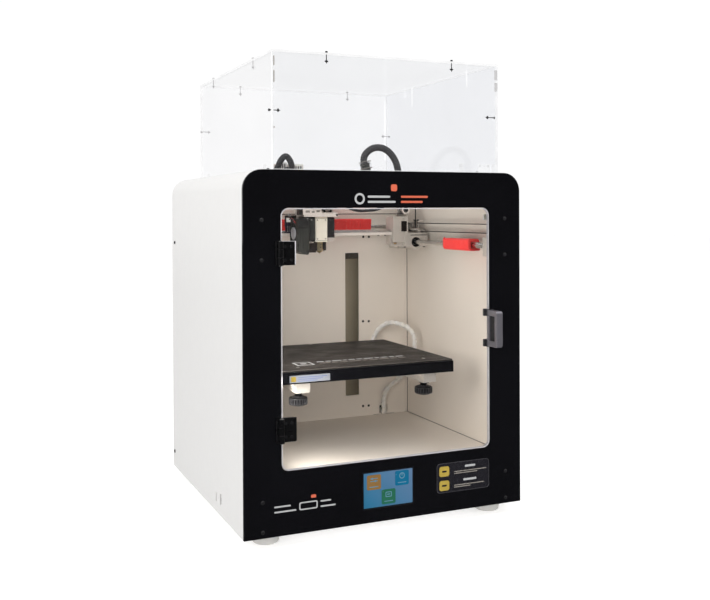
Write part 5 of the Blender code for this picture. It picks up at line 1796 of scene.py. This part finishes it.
@piece("head")
def head_side_board():
    """Red and black wires, a small board and a connector beside the rotor."""
    for k, material in enumerate(("wire_red", "wire_black")):
        points = [(-56.4, 206 + k * 3, 391 - k * 3), (-58.8 - k * 0.6, 212, 396),
                  (-59.6 - k, 220, 400.4), (-60.6, 226.9, 398)]
        yield material, cable(points, 0.72, 10, 1.5)
    yield "pcb_dark", box(-66.2, -57.2, 229.4, 231, 377, 402.4, 0.3)
    yield "nylon", box(-64.8, -58.6, 226.8, 229.5, 394, 400.6, 0.4)
    for i in range(4):
        yield ("galv" if i % 2 else "chip",
               box(-64.2 + i * 1.5, -63.4 + i * 1.5, 228.6, 229.6, 379, 388.6, 0.1))
    head = [(-1.4, 1.5), (0.6, 1.6), (0.9, 1.2), (0.9, 0.4)]
    for x, z in ((-58.2, 403.6), (-60.9, 404.2)):
        yield "screw", turned(head, (x, 228.6, z), "-y", 20)
    yield "brown_plastic", box(-66, -47.6, 231, 234.2, 386, 404.6, 0.6)


@piece("head")
def hot_end_details():
    """Heater block, side straps, nozzle tip and the two heater wires."""
    yield from boxes(("plastic", -27.8, -24.3, 213, 231, 364, 401, 0.4),
                     ("brown_plastic", -21.4, -18.9, 217.3, 226.7, 350.6, 363.4, 0.6, 3),
                     ("heat_brass", -18.6, -10, 217.8, 226.2, 351.2, 363.4, 0.4))
    tip = [(345.5, 0.55), (347.6, 1.9), (347.7, 3.9), (350.8, 3.9), (350.9, 2.9), (352.6, 2.9)]
    yield "brass", lathe(tip, "z", GEAR_X, 222, 24, False, hexed((2, 3), 0.93))
    yield "heat_brass", ring("z", GEAR_X, 222, 349.4, 352.4, 3, 5.6, 32, 0.3)
    yield from screws("screw", "-y", (1.1, 0.7, 0.6),
                      (GEAR_X, 217.8, 355.4), (GEAR_X, 217.8, 359.6))
    yield "wire_black", cable([(-9, 219.5, 357.5), (-7.2, 218.6, 360.6), (-5.4, 226, 366),
                               (-4.4, 231.6, 372)], 0.75, 10, 1.5)
    yield "wire_white", cable([(-9, 226, 357.5), (-7, 229, 361), (-4.8, 231, 366),
                               (-3.4, 233, 372)], 0.65, 10, 1.5)


@piece("head")
def hot_end_sleeve_seams():
    yield from each("scuff", box, (-22.6, -5.4, 211.75, 212.3, 399.2, 400, 0.15),
                    (-22.6, -5.4, 211.75, 212.3, 365.2, 365.9, 0.15))
    for x in (-20.6, -7.4):
        for z in (368.4, 397):
            head = [(-0.3, 1.1), (0.3, 1.1), (0.5, 0.8), (0.5, 0.3)]
            yield "scuff", turned(head, (x, 212, z), "-y", 18)


@piece("head")
def cooling_fan_and_fins():
    centre_y, centre_z = 222.4, 386
    yield "plastic", ring_prism(rounded(212.4, 232.4, 370.2, 401.3, 2),
                                rounded(213.9, 230.9, 376.6, 395, 7.6), "x", -3.2, 7.6, 0.3)
    hub = [(-1, 1), (-1, 5.2), (6.2, 5.2), (6.8, 4.9), (6.8, 1)]
    yield "plastic", lathe(hub, "x", centre_y, centre_z, 32)
    yield from boxes(("hinge", -3, 7.4, 212.3, 212.5, 374.8, 375.3, 0.05),
                     ("hinge", -3, 7.4, 212.3, 212.5, 396.6, 397.1, 0.05),
                     ("grey_plastic", -3.3, 7.7, 212, 212.5, 370, 371.4, 0.15))
    for i in range(7):
        start = 2 * math.pi * i / 7
        blade = [(centre_y + radius * math.cos(start + lag),
                  centre_z + radius * math.sin(start + lag))
                 for radius, lag in ((4.6, 0), (8, -0.25), (8, 0.32), (4.6, 0.5))]
        yield "plastic", prism(blade, "x", 3.4, 4.6, 0.1, 1)
    for y in (214.6, 230.2):
        yield from screws("screw_black", "+x", (1.4, 0.9, 0.7), (7.5, y, 372.8), (7.5, y, 398.8))
    for i in range(9):
        z = 373 + i * 3.2
        yield "alu_raw", box(-5, -3.3, 213.5, 230.5, z - 0.5, z + 0.5, 0.15)


@piece("head")
def level_probe():
    yield "brown_plastic", box(-8.4, -2.8, 220.6, 228.2, 350.4, 363.3, 0.7)
    yield "screw", lathe([(348.6, 1), (350.4, 1.4), (351.6, 1.4)], "z", -5.6, 224.6, 18)
    yield from each("plastic", box, (-7.8, -3.4, 220.3, 220.7, 352.4, 361.4, 0.12),
                    (-8, -3, 228.3, 230.2, 356, 364.6, 0.3))


# (x, z) outline of the drive's front plate, and (x, z) outline of its idler arm
DRIVE_PLATE = ((-33, 414.6), (6.5, 414.6), (6.5, 457), (-2, 457), (-4, 447), (-22, 447),
               (-25, 457), (-33, 457))
IDLER_ARM = ((-7, 424), (8, 420), (10.5, 424), (9, 452), (4, 455.5), (0, 445), (-7, 443.4))


@piece("head")
def filament_drive_details():
    """Top plate, drive block, their screws, and the spring-loaded idler arm."""
    yield from screws("screw", "+z", (2.2, 1.7, 1), (-41, 210, 406.7), (7.6, 210, 406.7),
                      (-41, 229.5, 406.7), (7.6, 229.5, 406.7))
    head = [(-0.3, 1.7), (1, 1.7), (1.3, 1.4), (1.3, 0.9), (0.6, 0.8), (0.55, 0.3)]
    yield "brown_plastic", turned(head, (-14.6, 206, 412.2), "-y", 20)
    head = [(-0.3, 2), (1.4, 2), (1.8, 1.6), (1.8, 1), (0.9, 0.9), (0.85, 0.3)]
    yield "brown_plastic", turned(head, (-49.5, 207.5, 411.4), "-y", 20)
    yield from boxes(("grey_plastic", -51.8, -45.8, 207.2, 219, 404.8, 414, 0.5),
                     ("scuff", -42, -35.2, 205.75, 206.2, 408.4, 411.6, 0.15),
                     ("scuff", -32, -27.4, 205.75, 206.2, 408, 411, 0.15),
                     ("scuff", -24.4, -19, 205.75, 206.2, 409, 412, 0.15))
    yield "screw_black", cap_screw((9, 206, 404.6), "-y", 1.5, 1, 0.8)
    yield "alu_white", box(-14.8, 10.4, 206.4, 221, 406.6, 408.4, 0.4)
    yield "alu_raw", rod("z", GEAR_X, 222, 401.5, 404.2, 4.2, 24, 0.4)
    yield from screws("screw_black", "-y", MEDIUM_CAP,
                      *((x, 232.6, z) for x, z in ((-44, 453), (-30, 453), (-15.5, 453),
                                                   (-1, 411), (-1, 453), (9.5, 411), (9.5, 453))))
    # idler arm with its bearing, spring and posts
    yield "alu", prism(DRIVE_PLATE, "y", 231.7, 232.5, 0.15, 1)
    yield "steel", ring("y", -2, GEAR_Z, 222, 231, 1.8, 6.1, 32, 0.4)
    yield "screw", rod("y", -2, GEAR_Z, 219.9, 232.6, 1.8, 18, 0.3)
    yield "alu_raw", prism(IDLER_ARM, "y", 220.2, 221.6, 0.3)
    yield "screw", spring(13, 225.5, 421, 434, radius=2.6, wire=0.4, turns=6)
    yield "screw", rod("z", 13, 225.5, 417, 438, 1.2, 14, 0.3)
    yield from each("alu_raw", box, (9, 17, 221.5, 229.5, 414.6, 417.6, 0.5),
                    (3, 17, 221.5, 229.5, 434, 437, 0.5))
    # filament inlet and the filament itself
    inlet = [(456.6, 3.2), (457.2, 4.2), (461, 4.2), (461.6, 3.6), (463.4, 3.4), (463.6, 1.2),
             (459, 1.1)]
    yield "brass", lathe(inlet, "z", -7.5, 226.5)
    yield "alu_raw", box(-12.5, -2.5, 221.5, 231.5, 448, 457, 0.8)
    yield "wire_white", tube(even([Vector((-7.5, 226.5, 410)), Vector((-7.5, 226.5, 458))], 4),
                             0.88)


@piece("extruder_gear", replaces=("extruder_gear",))
def extruder_gear_teeth():
    """The drive gear: teeth with a hobbed groove."""
    profile = [(221.5, 2.52), (221.5, 5.7), (221.9, 6), (224, 6), (225.2, 5.5), (226.4, 5.25),
               (227.6, 5.5), (228.8, 6), (231.1, 6), (231.5, 5.7), (231.5, 2.52)]

    def teeth(row, angle):
        wave = 0.5 + 0.5 * math.tanh(2.5 * math.cos(24 * angle))
        return 1 - (0.05 * wave if 1 <= row <= 9 else 0)

    yield "steel", lathe(profile, "y", GEAR_X, GEAR_Z, 72, True, teeth)
    yield "screw_black", cap_screw((GEAR_X, 223, GEAR_Z + 5.4), "+z", 1.2, 0.6, 0.65)


@piece("head", replaces=("extruder_motor",))
def extruder_motor_detail():
    yield from motor("y", GEAR_X, GEAR_Z, 197, 220, shaft_to=231.8, plug=0)


@piece("head")
def head_belt_clamp_and_seals():
    yield from boxes(("plastic", -36.2, -35.3, 243, 259, 377.2, 385.6, 0.3),
                     ("plastic", 8.3, 9.2, 243, 259, 377.2, 385.6, 0.3),
                     ("alu_raw", -30, 3, 236.1, 244.4, 400.2, 404.6, 0.6),
                     ("alu_raw", -30, 3, 236.1, 244.4, 407.9, 410.8, 0.6),
                     ("alu_raw", -31.5, 4.5, 236, 237.4, 400, 411, 0.3))
    yield from screws("screw_black", "+y", (1.6, 1.4, 0.8), (-25, 244, 409.4), (-2, 244, 409.4))
    for x in (-26, -1):
        yield from screws("screw_black", "+z", (1.7, 1.3, 0.85),
                          (x, 241.5, 385.9), (x, 260.5, 385.9))


@piece("head")
def head_breakout_board():
    """A board above the motor, with its connectors."""
    yield from boxes(("alu_white", -86, -68.1, 226, 227.6, 465, 482, 0.3),
                     ("alu_white", -68.3, -38, 226, 227.6, 455, 482, 0.3),
                     ("alu_white", -60, -40, 227.6, 233.4, 450, 476, 0.6),
                     ("nylon", -82, -66, 221.6, 226.1, 474.4, 484.6, 0.5),
                     ("nylon", -62.5, -40.5, 221.6, 226.1, 473.6, 482.4, 0.5),
                     ("chip", -56, -46, 224.6, 226.1, 458.5, 466, 0.3),
                     ("chip", -67, -61, 224.8, 226.1, 457, 463, 0.3))
    yield "alu_raw", rod("y", -42.6, 461, 221, 226.1, 2.6, 20, 0.3)
    for i in range(4):
        yield "chip", box(-80.6 + i * 3.5, -79.4 + i * 3.5, 220.9, 221.8, 475.6, 482.4, 0.15)
    for i in range(5):
        yield "chip", box(-60 + i * 3.9, -58.6 + i * 3.9, 220.9, 221.8, 475, 479.4, 0.15)
    yield from screws("screw_black", "-y", (1.6, 1.2, 0.8), (-84.2, 226, 468.4),
                      (-39.8, 226, 456.8))


WIRES = ("wire_red", "wire_black", "wire_blue", "wire_white", "wire_yellow")


@piece("head")
def head_board_wires():
    for k, material in enumerate(WIRES):
        x = -56.3 + k * 3.5
        points = [(x, 221, 473.6), (x - 2, 214, 472 - k), (x + 1, 211 - k * 0.4, 462),
                  (-33 + k * 2.2, 212, 457.6)]
        yield material, cable(points, 0.72, 8, 2)


# ---- cables and sleeves ------------------------------------------------------------------------
@piece(blend=("frame", "bed", (141, 320, 71), (109.24, 296.62, 72.2)), angle=50)
def bed_cable():
    """Spiral-wrapped cable from the bed's rear corner to the chamber's back corner."""
    points = [(107, 305, 176), (113, 309.5, 188), (123, 306, 210), (138, 292, 224),
              (158, 268, 219), (168, 258, 200), (168, 266, 168), (165, 284, 144),
              (156, 302, 124), (146, 312, 112), (140.4, 315.5, 101), (139.4, 316.6, 88),
              (140, 317, 76), (140.6, 318.4, 71.4), (140.8, 323, 70.6), (141, 330, 71.4)]
    line = even(smooth_path(points, 16), 2)
    yield "wire_white", tube(line, 3.1)
    yield "spiral", wrap(line, 3.15, pitch=9.5, width=7.6, thick=1)


@piece(blend=("head", "gantry", (-66, 215, 478), (-100, 240, 455)), angle=50)
def left_sleeve():
    """From the head's board to the left motor bracket, with a collar at the board."""
    points = [(-64, 224, 469), (-63.5, 207, 476), (-68.5, 202, 487), (-75.5, 200.5, 492.6),
              (-82, 204, 486), (-86.5, 216, 470), (-100, 240, 450), (-125, 262, 440),
              (-133, 268, 436.5)]
    yield "sleeve", cable(points, 4.6, 14, 2, per=14)
    collar = ring("z", 0, 0, -4, 4, 4.4, 6, 24, 0.5)
    yield "plastic", aim(collar, (-66, 222, 470.8), (0.05, -0.93, 0.35))


@piece("gantry", angle=50)
def centre_sleeve():
    """A ribbed sleeve from the gland, up over and down on the right."""
    points = [(78, 246, 470), (75.6, 247.5, 482), (73.6, 249, 493), (78.2, 250, 503),
              (88, 250.5, 510.4), (98.5, 250.8, 513), (110.5, 251, 511.3), (123, 252, 503.5),
              (132.6, 253, 490), (137.4, 254, 474), (140, 255, 450), (141.4, 256, 430)]
    yield "sleeve", tube(even(smooth_path(points, 14), 0.8), 5.4, 14,
                         lambda i: 5.72 if i % 4 in (1, 2) else 5.28)


@piece(blend=("head", "gantry", (-16, 236, 466), (68, 236, 466)), angle=50)
def head_cable_bundle():
    points = [(-20, 233, 466), (0, 240, 468), (30, 246, 468), (56, 246.6, 463),
              (70, 246, 463.5), (77.4, 246, 470)]
    yield "sleeve", cable(points, 4.2, 14, 2, per=14)


@piece("gantry", angle=50)
def cable_gland():
    """A gland with a clear collar between two scuffed rings."""
    lean = (-0.18, 0.1, 0.98)
    profile = [(-9.5, 4.4), (-9, 6.6), (-5, 7), (-4.6, 8.2), (-0.6, 8.2), (-0.4, 7.2),
               (3.6, 7.2), (4, 8), (6.8, 8), (7.2, 6.4), (7.4, 5.2)]
    yield "grey_plastic", turned(profile, (76, 247.2, 480), lean, 30, scale=hexed((3, 4), 0.95))
    for material, *size, cut in (("clear", -3, 8, 8.6, 9.8, 0.4),
                                 ("scuff", -3.4, -2.6, 8.6, 10, 0.2),
                                 ("scuff", 7.6, 8.4, 8.6, 10, 0.2)):
        yield material, aim(ring("z", 0, 0, *size, 36, cut), (76.6, 247.2, 481.5), lean)


@piece("head", angle=50)
def head_cable_clip():
    yield "alu_raw", box(-30, -8, 227, 236, 457.2, 462, 0.6)
    yield "plastic", box(-28, -12, 229, 237, 461, 470.5, 0.8)


@piece(blend=("head", "gantry", (10, 236, 446), (136, 257, 436)), angle=50)
def low_cable_loop():
    """A low loop hanging between head and right bracket, behind the X belt."""
    points = [(6, 234.5, 450), (20, 244, 440), (44, 258, 420), (66, 263, 412), (86, 264, 411.5),
              (106, 263, 414), (124, 260, 424), (138, 256.5, 436), (142, 255.5, 446)]
    yield "sleeve", cable(points, 2.3, 14, 2, per=14)


@piece("gantry", angle=50)
def gantry_right_cables():
    points = [(166.8, 250, 380.5), (166.8, 250, 400), (166.4, 250.4, 425), (163, 251, 441),
              (153, 253, 447), (143, 255, 446)]
    yield "wire_black", cable(points, 1, 10, 2, per=12)
    collar = ring("z", 0, 0, -6, 6, 3.6, 6.4, 28, 0.8)
    yield "plastic", aim(collar, (141, 255.4, 440), (0.08, 0.05, -1))
    yield "alu", box(134, 148.5, 249.9, 256, 416, 436, 0.8)


@piece(blend=("gantry", "frame", (-148, 290, 438), (-149, 323, 432)), angle=50)
def rear_sleeve():
    """The gantry's cable to the back of the case."""
    points = [(-148, 289, 438), (-150, 300, 446), (-151, 312, 449), (-150, 320, 442),
              (-149, 323, 430), (-149, 330, 424)]
    yield "sleeve", cable(points, 4, 14, 2, per=14)


@piece("frame")
def cable_grommets():
    yield "plastic", ring("y", -149, 424.4, 319.6, CHAMBER_BACK, 4.2, 7.4, 32, 0.6)


@piece("gantry")
def gantry_cable_clamp():
    yield "plastic", box(-154, -142, 286, 291, 433.8, 443, 0.7)
    yield "alu_raw", box(-156.5, -139.5, 287.2, 289, 432, 434.2, 0.4)


# ---- behind and under the chamber ------------------------------------------------------------
@piece("frame")
def power_supply():
    """On the left of the rear compartment floor, with terminals and vent rings."""
    yield from boxes(("galv", -190, -92, 330, 380, 2, 60, 0.8),
                     ("plastic", -92.2, -82, 332, 378, 4, 24, 0.6),
                     ("galv", -190.2, -91.8, 329.6, 330.2, 55, 60.2, 0.2))
    for i in range(7):
        y = 336 + i * 6.2
        yield "screw", cap_screw((-87, y, 24), "+z", 2.2, 1.4, 1)
        yield "plastic", box(-91.8, -82.4, y + 2.7, y + 3.3, 23.6, 28, 0.15)
    for row in range(6):
        for column in range(11):
            x, z = -184 + column * 8.2, 10 + row * 7.6
            vent = (x, x + 5.6, z, z + 4.8)
            yield "screw_black", ring_prism(rounded(*vent, 2.3, 4), inset(vent, 0.6, 1.7, 4),
                                            "y", 380, 380.5)


def driver_module(x):
    """One driver board with its headers, heat sink, capacitor and plug."""
    yield from boxes(("pcb_dark", x, x + 15.5, 226, 246, 16, 17.4, 0.2),
                     ("plastic", x + 1, x + 3.4, 226.5, 245.5, 13.5, 16.1, 0.2),
                     ("plastic", x + 12, x + 14.4, 226.5, 245.5, 13.5, 16.1, 0.2),
                     ("alu_raw", x + 4, x + 11.5, 230.5, 238, 17.3, 22, 0.3))
    for k in range(4):
        yield "alu_raw", box(x + 4 + k * 2.2, x + 5 + k * 2.2, 230.5, 238, 21.8, 27, 0.15)
    yield "chip", rod("z", x + 7.8, 254, 13.5, 22.5, 3.8)
    yield "alu_raw", ring("z", x + 7.8, 254, 22.2, 22.8, 1, 3.5, 24, 0.1)
    yield "nylon", box(x, x + 10.5, 212, 217.6, 13.5, 21, 0.4)


@piece("frame")
def controller_board():
    """On stand-offs below the chamber."""
    yield "pcb", box(-70, 80, 210, 318, 12, 13.6, 0.3)
    for x in (-66, 76):
        for y in (214, 314):
            yield "brass", rod("z", x, y, 1.5, 12, 2.6, 18, 0.2)
            yield "screw", cap_screw((x, y, 13.6), "+z", 2.3, 1.7, 1)
    for i in range(5):
        yield from driver_module(-56 + i * 24)
    yield from boxes(("chip", -20, -4, 272, 288, 13.5, 15.4, 0.3),
                     ("chip", 24, 36, 274, 286, 13.5, 15.2, 0.3))
    for i in range(6):
        yield "tile_green", box(-60 + i * 20, -45 + i * 20, 302, 312.5, 13.5, 24, 0.5)
        for k in range(2):
            yield "screw", rod("z", -56.2 + i * 20 + k * 7.4, 307.4, 23.4, 24.4, 2, 16, 0.2)
    # small parts scattered over the board
    rng = random.Random(7)
    for _ in range(46):
        x, y = rng.uniform(-60, 70), rng.uniform(258, 298)
        wide, deep = rng.choice(((1.6, 0.8), (0.8, 1.6), (2.4, 1.6), (3, 2.2)))
        top = 14.4 + rng.uniform(0, 0.5)
        yield rng.choice(("chip", "scuff", "galv")), box(x, x + wide, y, y + deep, 13.5, top, 0.1)


def loom(points, radius, materials, count):
    """Wires run side by side along a path, tied at intervals."""
    stations = frames(even(smooth_path(points), 6))
    for k in range(count):
        start = 2 * math.pi * k / count
        strand = []
        for i, (point, _, normal, side) in enumerate(stations):
            angle = start + i * 0.05
            out = normal * math.cos(angle) + side * math.sin(angle)
            strand.append(point + out * (radius * 0.62))
        yield materials[k % len(materials)], tube(strand, radius * 0.4, 8)
    for i in range(4, len(stations) - 3, 9):
        point, tangent, normal, _ = stations[i]
        tie = ring("z", 0, 0, -1.2, 1.2, radius, radius * 1.16, 20, 0.15)
        yield "wire_black", aim(tie, point, tangent)
        knot = box(-1.6, 1.6, -1.2, 1.2, -1.4, 1.4, 0.3)
        yield "wire_black", aim(knot, point + normal * radius * 1.25, tangent)


# name, radius, wire materials, wire count, path
for name, radius, materials, count, points in (
    ("rear_loom", 4.2, WIRES, 6,
     [(-40, 308, 26), (-44, 326, 40), (-40, 336, 80), (-36, 338, 160), (-36, 338, 260),
      (-40, 338, 340), (-60, 334, 400), (-110, 330, 424), (-149, 331, 424)]),
    ("heater_loom", 3.4, ("wire_red", "wire_black", "wire_white"), 4,
     [(78, 308, 26), (96, 322, 40), (124, 332, 58), (139, 334, 68), (141, 329, 71)]),
    ("mains_loom", 3.2, ("wire_blue", "wire_yellow", "wire_black"), 3,
     [(-84, 350, 30), (-40, 374, 14), (20, 378, 9), (80, 374, 14), (108, 366, 34),
      (119, 368, 48)]),
    ("screen_loom", 2.8, ("wire_white", "wire_black", "wire_red"), 4,
     [(-3, 9, 40), (-4, 40, 22), (0, 110, 7), (4, 180, 7), (10, 206, 16), (12, 215, 20)]),
):
    assemble(name, "frame", loom(points, radius, materials, count), angle=50)


@piece("frame")
def screen_board():
    """Screen carrier and its board behind the panel."""
    yield from boxes(("pcb", -46, 39, 6.6, 8.2, 13, 63, 0.4),
                     ("galv", -30, 22, 8.2, 10.6, 22, 50, 0.5),
                     ("nylon", -12, 4, 8.2, 14, 52, 60, 0.5))
    for x in (-43, 36):
        yield from screws("screw", "+y", (2, 1.5, 1), (x, 8.2, 16), (x, 8.2, 60))


@piece("frame")
def inlet_details():
    """Contact blades, retaining screws and the rims of inlet and rocker."""
    for x, z in ((140, 41.8), (133, 34), (147, 34)):
        yield "brass", box(x - 0.9, x + 0.9, 380, 392.8, z - 2.6, z + 2.6, 0.3)
    for z in (24.6, 81):
        for x in (119, 161):
            yield "screw_black", flat_screw((x, 396, z), "+y", 2.4, 1)
    yield "plastic", ring_prism(rounded(124.6, 155.4, 25.6, 48.4, 2.6, 4),
                                rounded(126.1, 153.9, 27.1, 46.9, 2, 4), "y", 395.6, 396.9, 0.2)
    yield "plastic", ring_prism(rounded(124.6, 155.4, 56, 80, 1.8, 4),
                                rounded(126.1, 153.9, 57.6, 78.4, 1.2, 4),
                                "y", 395.6, 396.7, 0.2)
    for z in (30.5, 37, 43.5):
        yield "brass", box(164.2, 170, 380, 381, z - 1.5, z + 1.5, 0.2)


@piece("rocker")
def rocker_marks():
    bar = [(397, 70.6), (397.9, 74.6), (397.4, 74.7), (396.4, 70.8)]
    yield "print", prism(bar, "x", 139.5, 140.5)
    yield "print", ring("y", 140, 64.4, 396.1, 397.35, 1.5, 2.1, 24, 0.06)


@piece("frame")
def rear_fan():
    """The fan behind the vents, and its screws."""
    centre = (REAR_FAN_X, REAR_FAN_Z)
    yield "plastic", ring("y", *centre, 381.5, 390.8, 33.5, 36.5, 48, 0.4)
    hub = [(381.8, 1), (381.8, 12.5), (382.6, 13.2), (389.4, 13.2), (390.2, 12.4), (390.2, 1)]
    yield "plastic", lathe(hub, "y", *centre, 36)
    yield from each("plastic", box, (-114, -38, 388.8, 391, 6, 9, 0.4),
                    (-114, -38, 388.8, 391, 81, 84, 0.4),
                    (-114, -111, 388.8, 391, 6, 84, 0.4),
                    (-41, -38, 388.8, 391, 6, 84, 0.4))

    def at(radius, angle):
        return (REAR_FAN_X + radius * math.cos(angle), REAR_FAN_Z + radius * math.sin(angle))

    for i in range(9):
        start = 2 * math.pi * i / 9
        lead = [at(12.8 + 19.6 * share, start + 0.25 * share) for share in (0, 0.5, 1)]
        trail = [at(12.8 + 19.6 * share, start + 0.42 + 0.12 * share) for share in (1, 0.5, 0)]
        yield "grey_plastic", prism(lead + trail, "y", 384.6, 386, 0.25, 1)
    for i in range(4):
        angle = math.radians(45 + 90 * i)
        ends = (at(13, angle), at(35, angle))
        yield "plastic", tube([Vector((x, 383, z)) for x, z in ends], 1.6, 10)
    for x in (-112, -40):
        yield from screws("screw_black", "+y", (2.5, 1.4, 1.1), (x, CASE_BACK - 0.02, 9),
                          (x, CASE_BACK - 0.02, 81), button=True)


@piece("frame")
def rear_blank_plate():
    yield "label", prism(rounded(20, 84, 30, 70, 2, 4), "y", CASE_BACK - 0.03, CASE_BACK + 0.3,
                         0.08, 1)
    for z, right in ((62, 60), (55, 78), (48, 74), (41, 52)):
        yield "label_ink", prism(rounded(25, right, z - 0.8, z + 0.8, 0.6, 3),
                                 "y", CASE_BACK + 0.25, CASE_BACK + 0.42)


# ---- stage: floor, world, lights, camera, in metres -----------------------------------------
scene = bpy.context.scene


def stage(name, data):
    ob = bpy.data.objects.new(name, data)
    scene.collection.objects.link(ob)
    return ob


def floor_material():
    """A near-white floor that mirror-like rays see as dim, so the gloss panel stays dark."""
    made, tree = blank_material("studio_floor")
    drift = remap(tree, noise(tree, coords(tree), 0.8, 2), (0.3, 0.7), (0.955, 0.975))
    tone = node(tree, "HueSaturation", {"Color": (1, 1, 1), "Value": drift}).outputs[0]
    base = node(tree, "BsdfDiffuse", {"Color": tone}).outputs[0]
    lift = node(tree, "Emission", {"Strength": 0.3}).outputs[0]
    both = node(tree, "AddShader", {0: base, 1: lift}).outputs[0]
    dim = node(tree, "Emission", {"Color": (0.9, 0.92, 1), "Strength": 0.05}).outputs[0]
    glossy = node(tree, "LightPath").outputs["Is Glossy Ray"]
    node(tree, "OutputMaterial", {0: mix_shader(tree, glossy, both, dim)})
    return made


def build_floor():
    mesh = bpy.data.meshes.new("studio_floor")
    corners = [(-12, -12, 0), (12, -12, 0), (12, 12, 0), (-12, 12, 0)]
    mesh.from_pydata(corners, [], [(0, 1, 2, 3)])
    mesh.materials.append(floor_material())
    stage("studio_floor", mesh)


def build_world():
    """Soft white light, a shaped glow for reflections and plain white for the camera."""
    world = bpy.data.worlds.new("studio")
    scene.world = world
    world.use_nodes = True
    tree = world.node_tree
    tree.nodes.clear()
    soft = node(tree, "Background", {"Color": (1, 0.995, 0.985), "Strength": 0.74}).outputs[0]
    seen = node(tree, "Background", {"Color": (1, 1, 1), "Strength": 1.02}).outputs[0]
    # reflections: bright above and behind, dim in front
    way = split_xyz(tree, node(tree, "TexCoord").outputs["Generated"])
    ahead = remap(tree, way[1], (-0.75, 0.05), (0.045, 1))
    above = remap(tree, way[2], (0.25, 0.8), (0, 0.9))
    strength = maths(tree, "MINIMUM", maths(tree, "ADD", ahead, above), 1.05)
    glint = node(tree, "Background", {"Strength": strength}).outputs[0]
    path = node(tree, "LightPath").outputs
    lighting = mix_shader(tree, path["Is Glossy Ray"], soft, glint)
    node(tree, "OutputWorld", {0: mix_shader(tree, path["Is Camera Ray"], lighting, seen)})


def softbox(name, at, to, size, watts, tint, glossy=True, height=None):
    lamp = bpy.data.lights.new(name, "AREA")
    lamp.shape = "RECTANGLE"
    lamp.size = size
    lamp.size_y = height or size
    lamp.energy = watts
    lamp.color = tint
    ob = stage(name, lamp)
    ob.location = at
    ob.rotation_euler = (Vector(to) - Vector(at)).to_track_quat("-Z", "Y").to_euler()
    ob.visible_camera = False
    ob.visible_glossy = glossy


def build_camera():
    yaw, pitch, roll = (math.radians(a) for a in (23.5676, 0.245, -0.2344))
    forward = Vector((math.sin(yaw) * math.cos(pitch), math.cos(yaw) * math.cos(pitch),
                      -math.sin(pitch)))
    level_right = Vector((math.cos(yaw), -math.sin(yaw), 0))
    level_up = level_right.cross(forward)
    right = level_right * math.cos(roll) + level_up * math.sin(roll)
    up = -level_right * math.sin(roll) + level_up * math.cos(roll)
    lens = bpy.data.cameras.new("camera")
    lens.sensor_width = 36
    lens.lens = 47.54
    lens.shift_x = 0
    lens.shift_y = -0.1157
    lens.clip_start = 0.01
    lens.clip_end = 60
    camera = stage("camera", lens)
    turn = Matrix((right, up, -forward)).transposed().to_4x4()
    camera.matrix_world = Matrix.Translation((-0.5393, -1.3063, 0.4203)) @ turn
    scene.camera = camera


build_floor()
build_world()
softbox("softbox_left", at=(-2.6, -0.7, 1.3), to=(0, 0, 0.25), size=2.2, watts=5.5,
        tint=(1, 0.99, 0.98))
softbox("softbox_top", at=(-0.1, 0.1, 2.6), to=(0, 0, 0.3), size=1.8, watts=22, tint=(1, 1, 1))
softbox("softbox_front", at=(-1.4, -2.6, 1.5), to=(0, -0.1, 0.25), size=1.4, watts=27,
        tint=(1, 0.965, 0.92), glossy=False)
softbox("chamber_fill_high", at=(-0.135, -0.140, 0.300), to=(0.187, -0.165, 0.25), size=0.20,
        watts=0.70, tint=(1, 0.955, 0.89), glossy=False)
softbox("chamber_fill_low", at=(-0.120, -0.150, 0.150), to=(0.187, -0.160, 0.120), size=0.10,
        height=0.07, watts=0.21, tint=(1, 0.955, 0.89), glossy=False)
softbox("chamber_sill", at=(-0.02, -0.184, 0.170), to=(-0.02, -0.160, 0.05), size=0.26,
        height=0.012, watts=0.085, tint=(1, 0.98, 0.98), glossy=False)
build_camera()

scene.view_settings.view_transform = "Standard"
scene.view_settings.look = "None"
scene.view_settings.exposure = 0
# Cycles may not be enabled in this Blender
if hasattr(scene, "cycles"):
    scene.cycles.max_bounces = 12
    scene.cycles.diffuse_bounces = 5
    scene.cycles.glossy_bounces = 4
    scene.cycles.transparent_max_bounces = 40
    scene.cycles.caustics_reflective = False
    scene.cycles.caustics_refractive = False
    scene.cycles.sample_clamp_indirect = 6

bpy.context.view_layer.update()
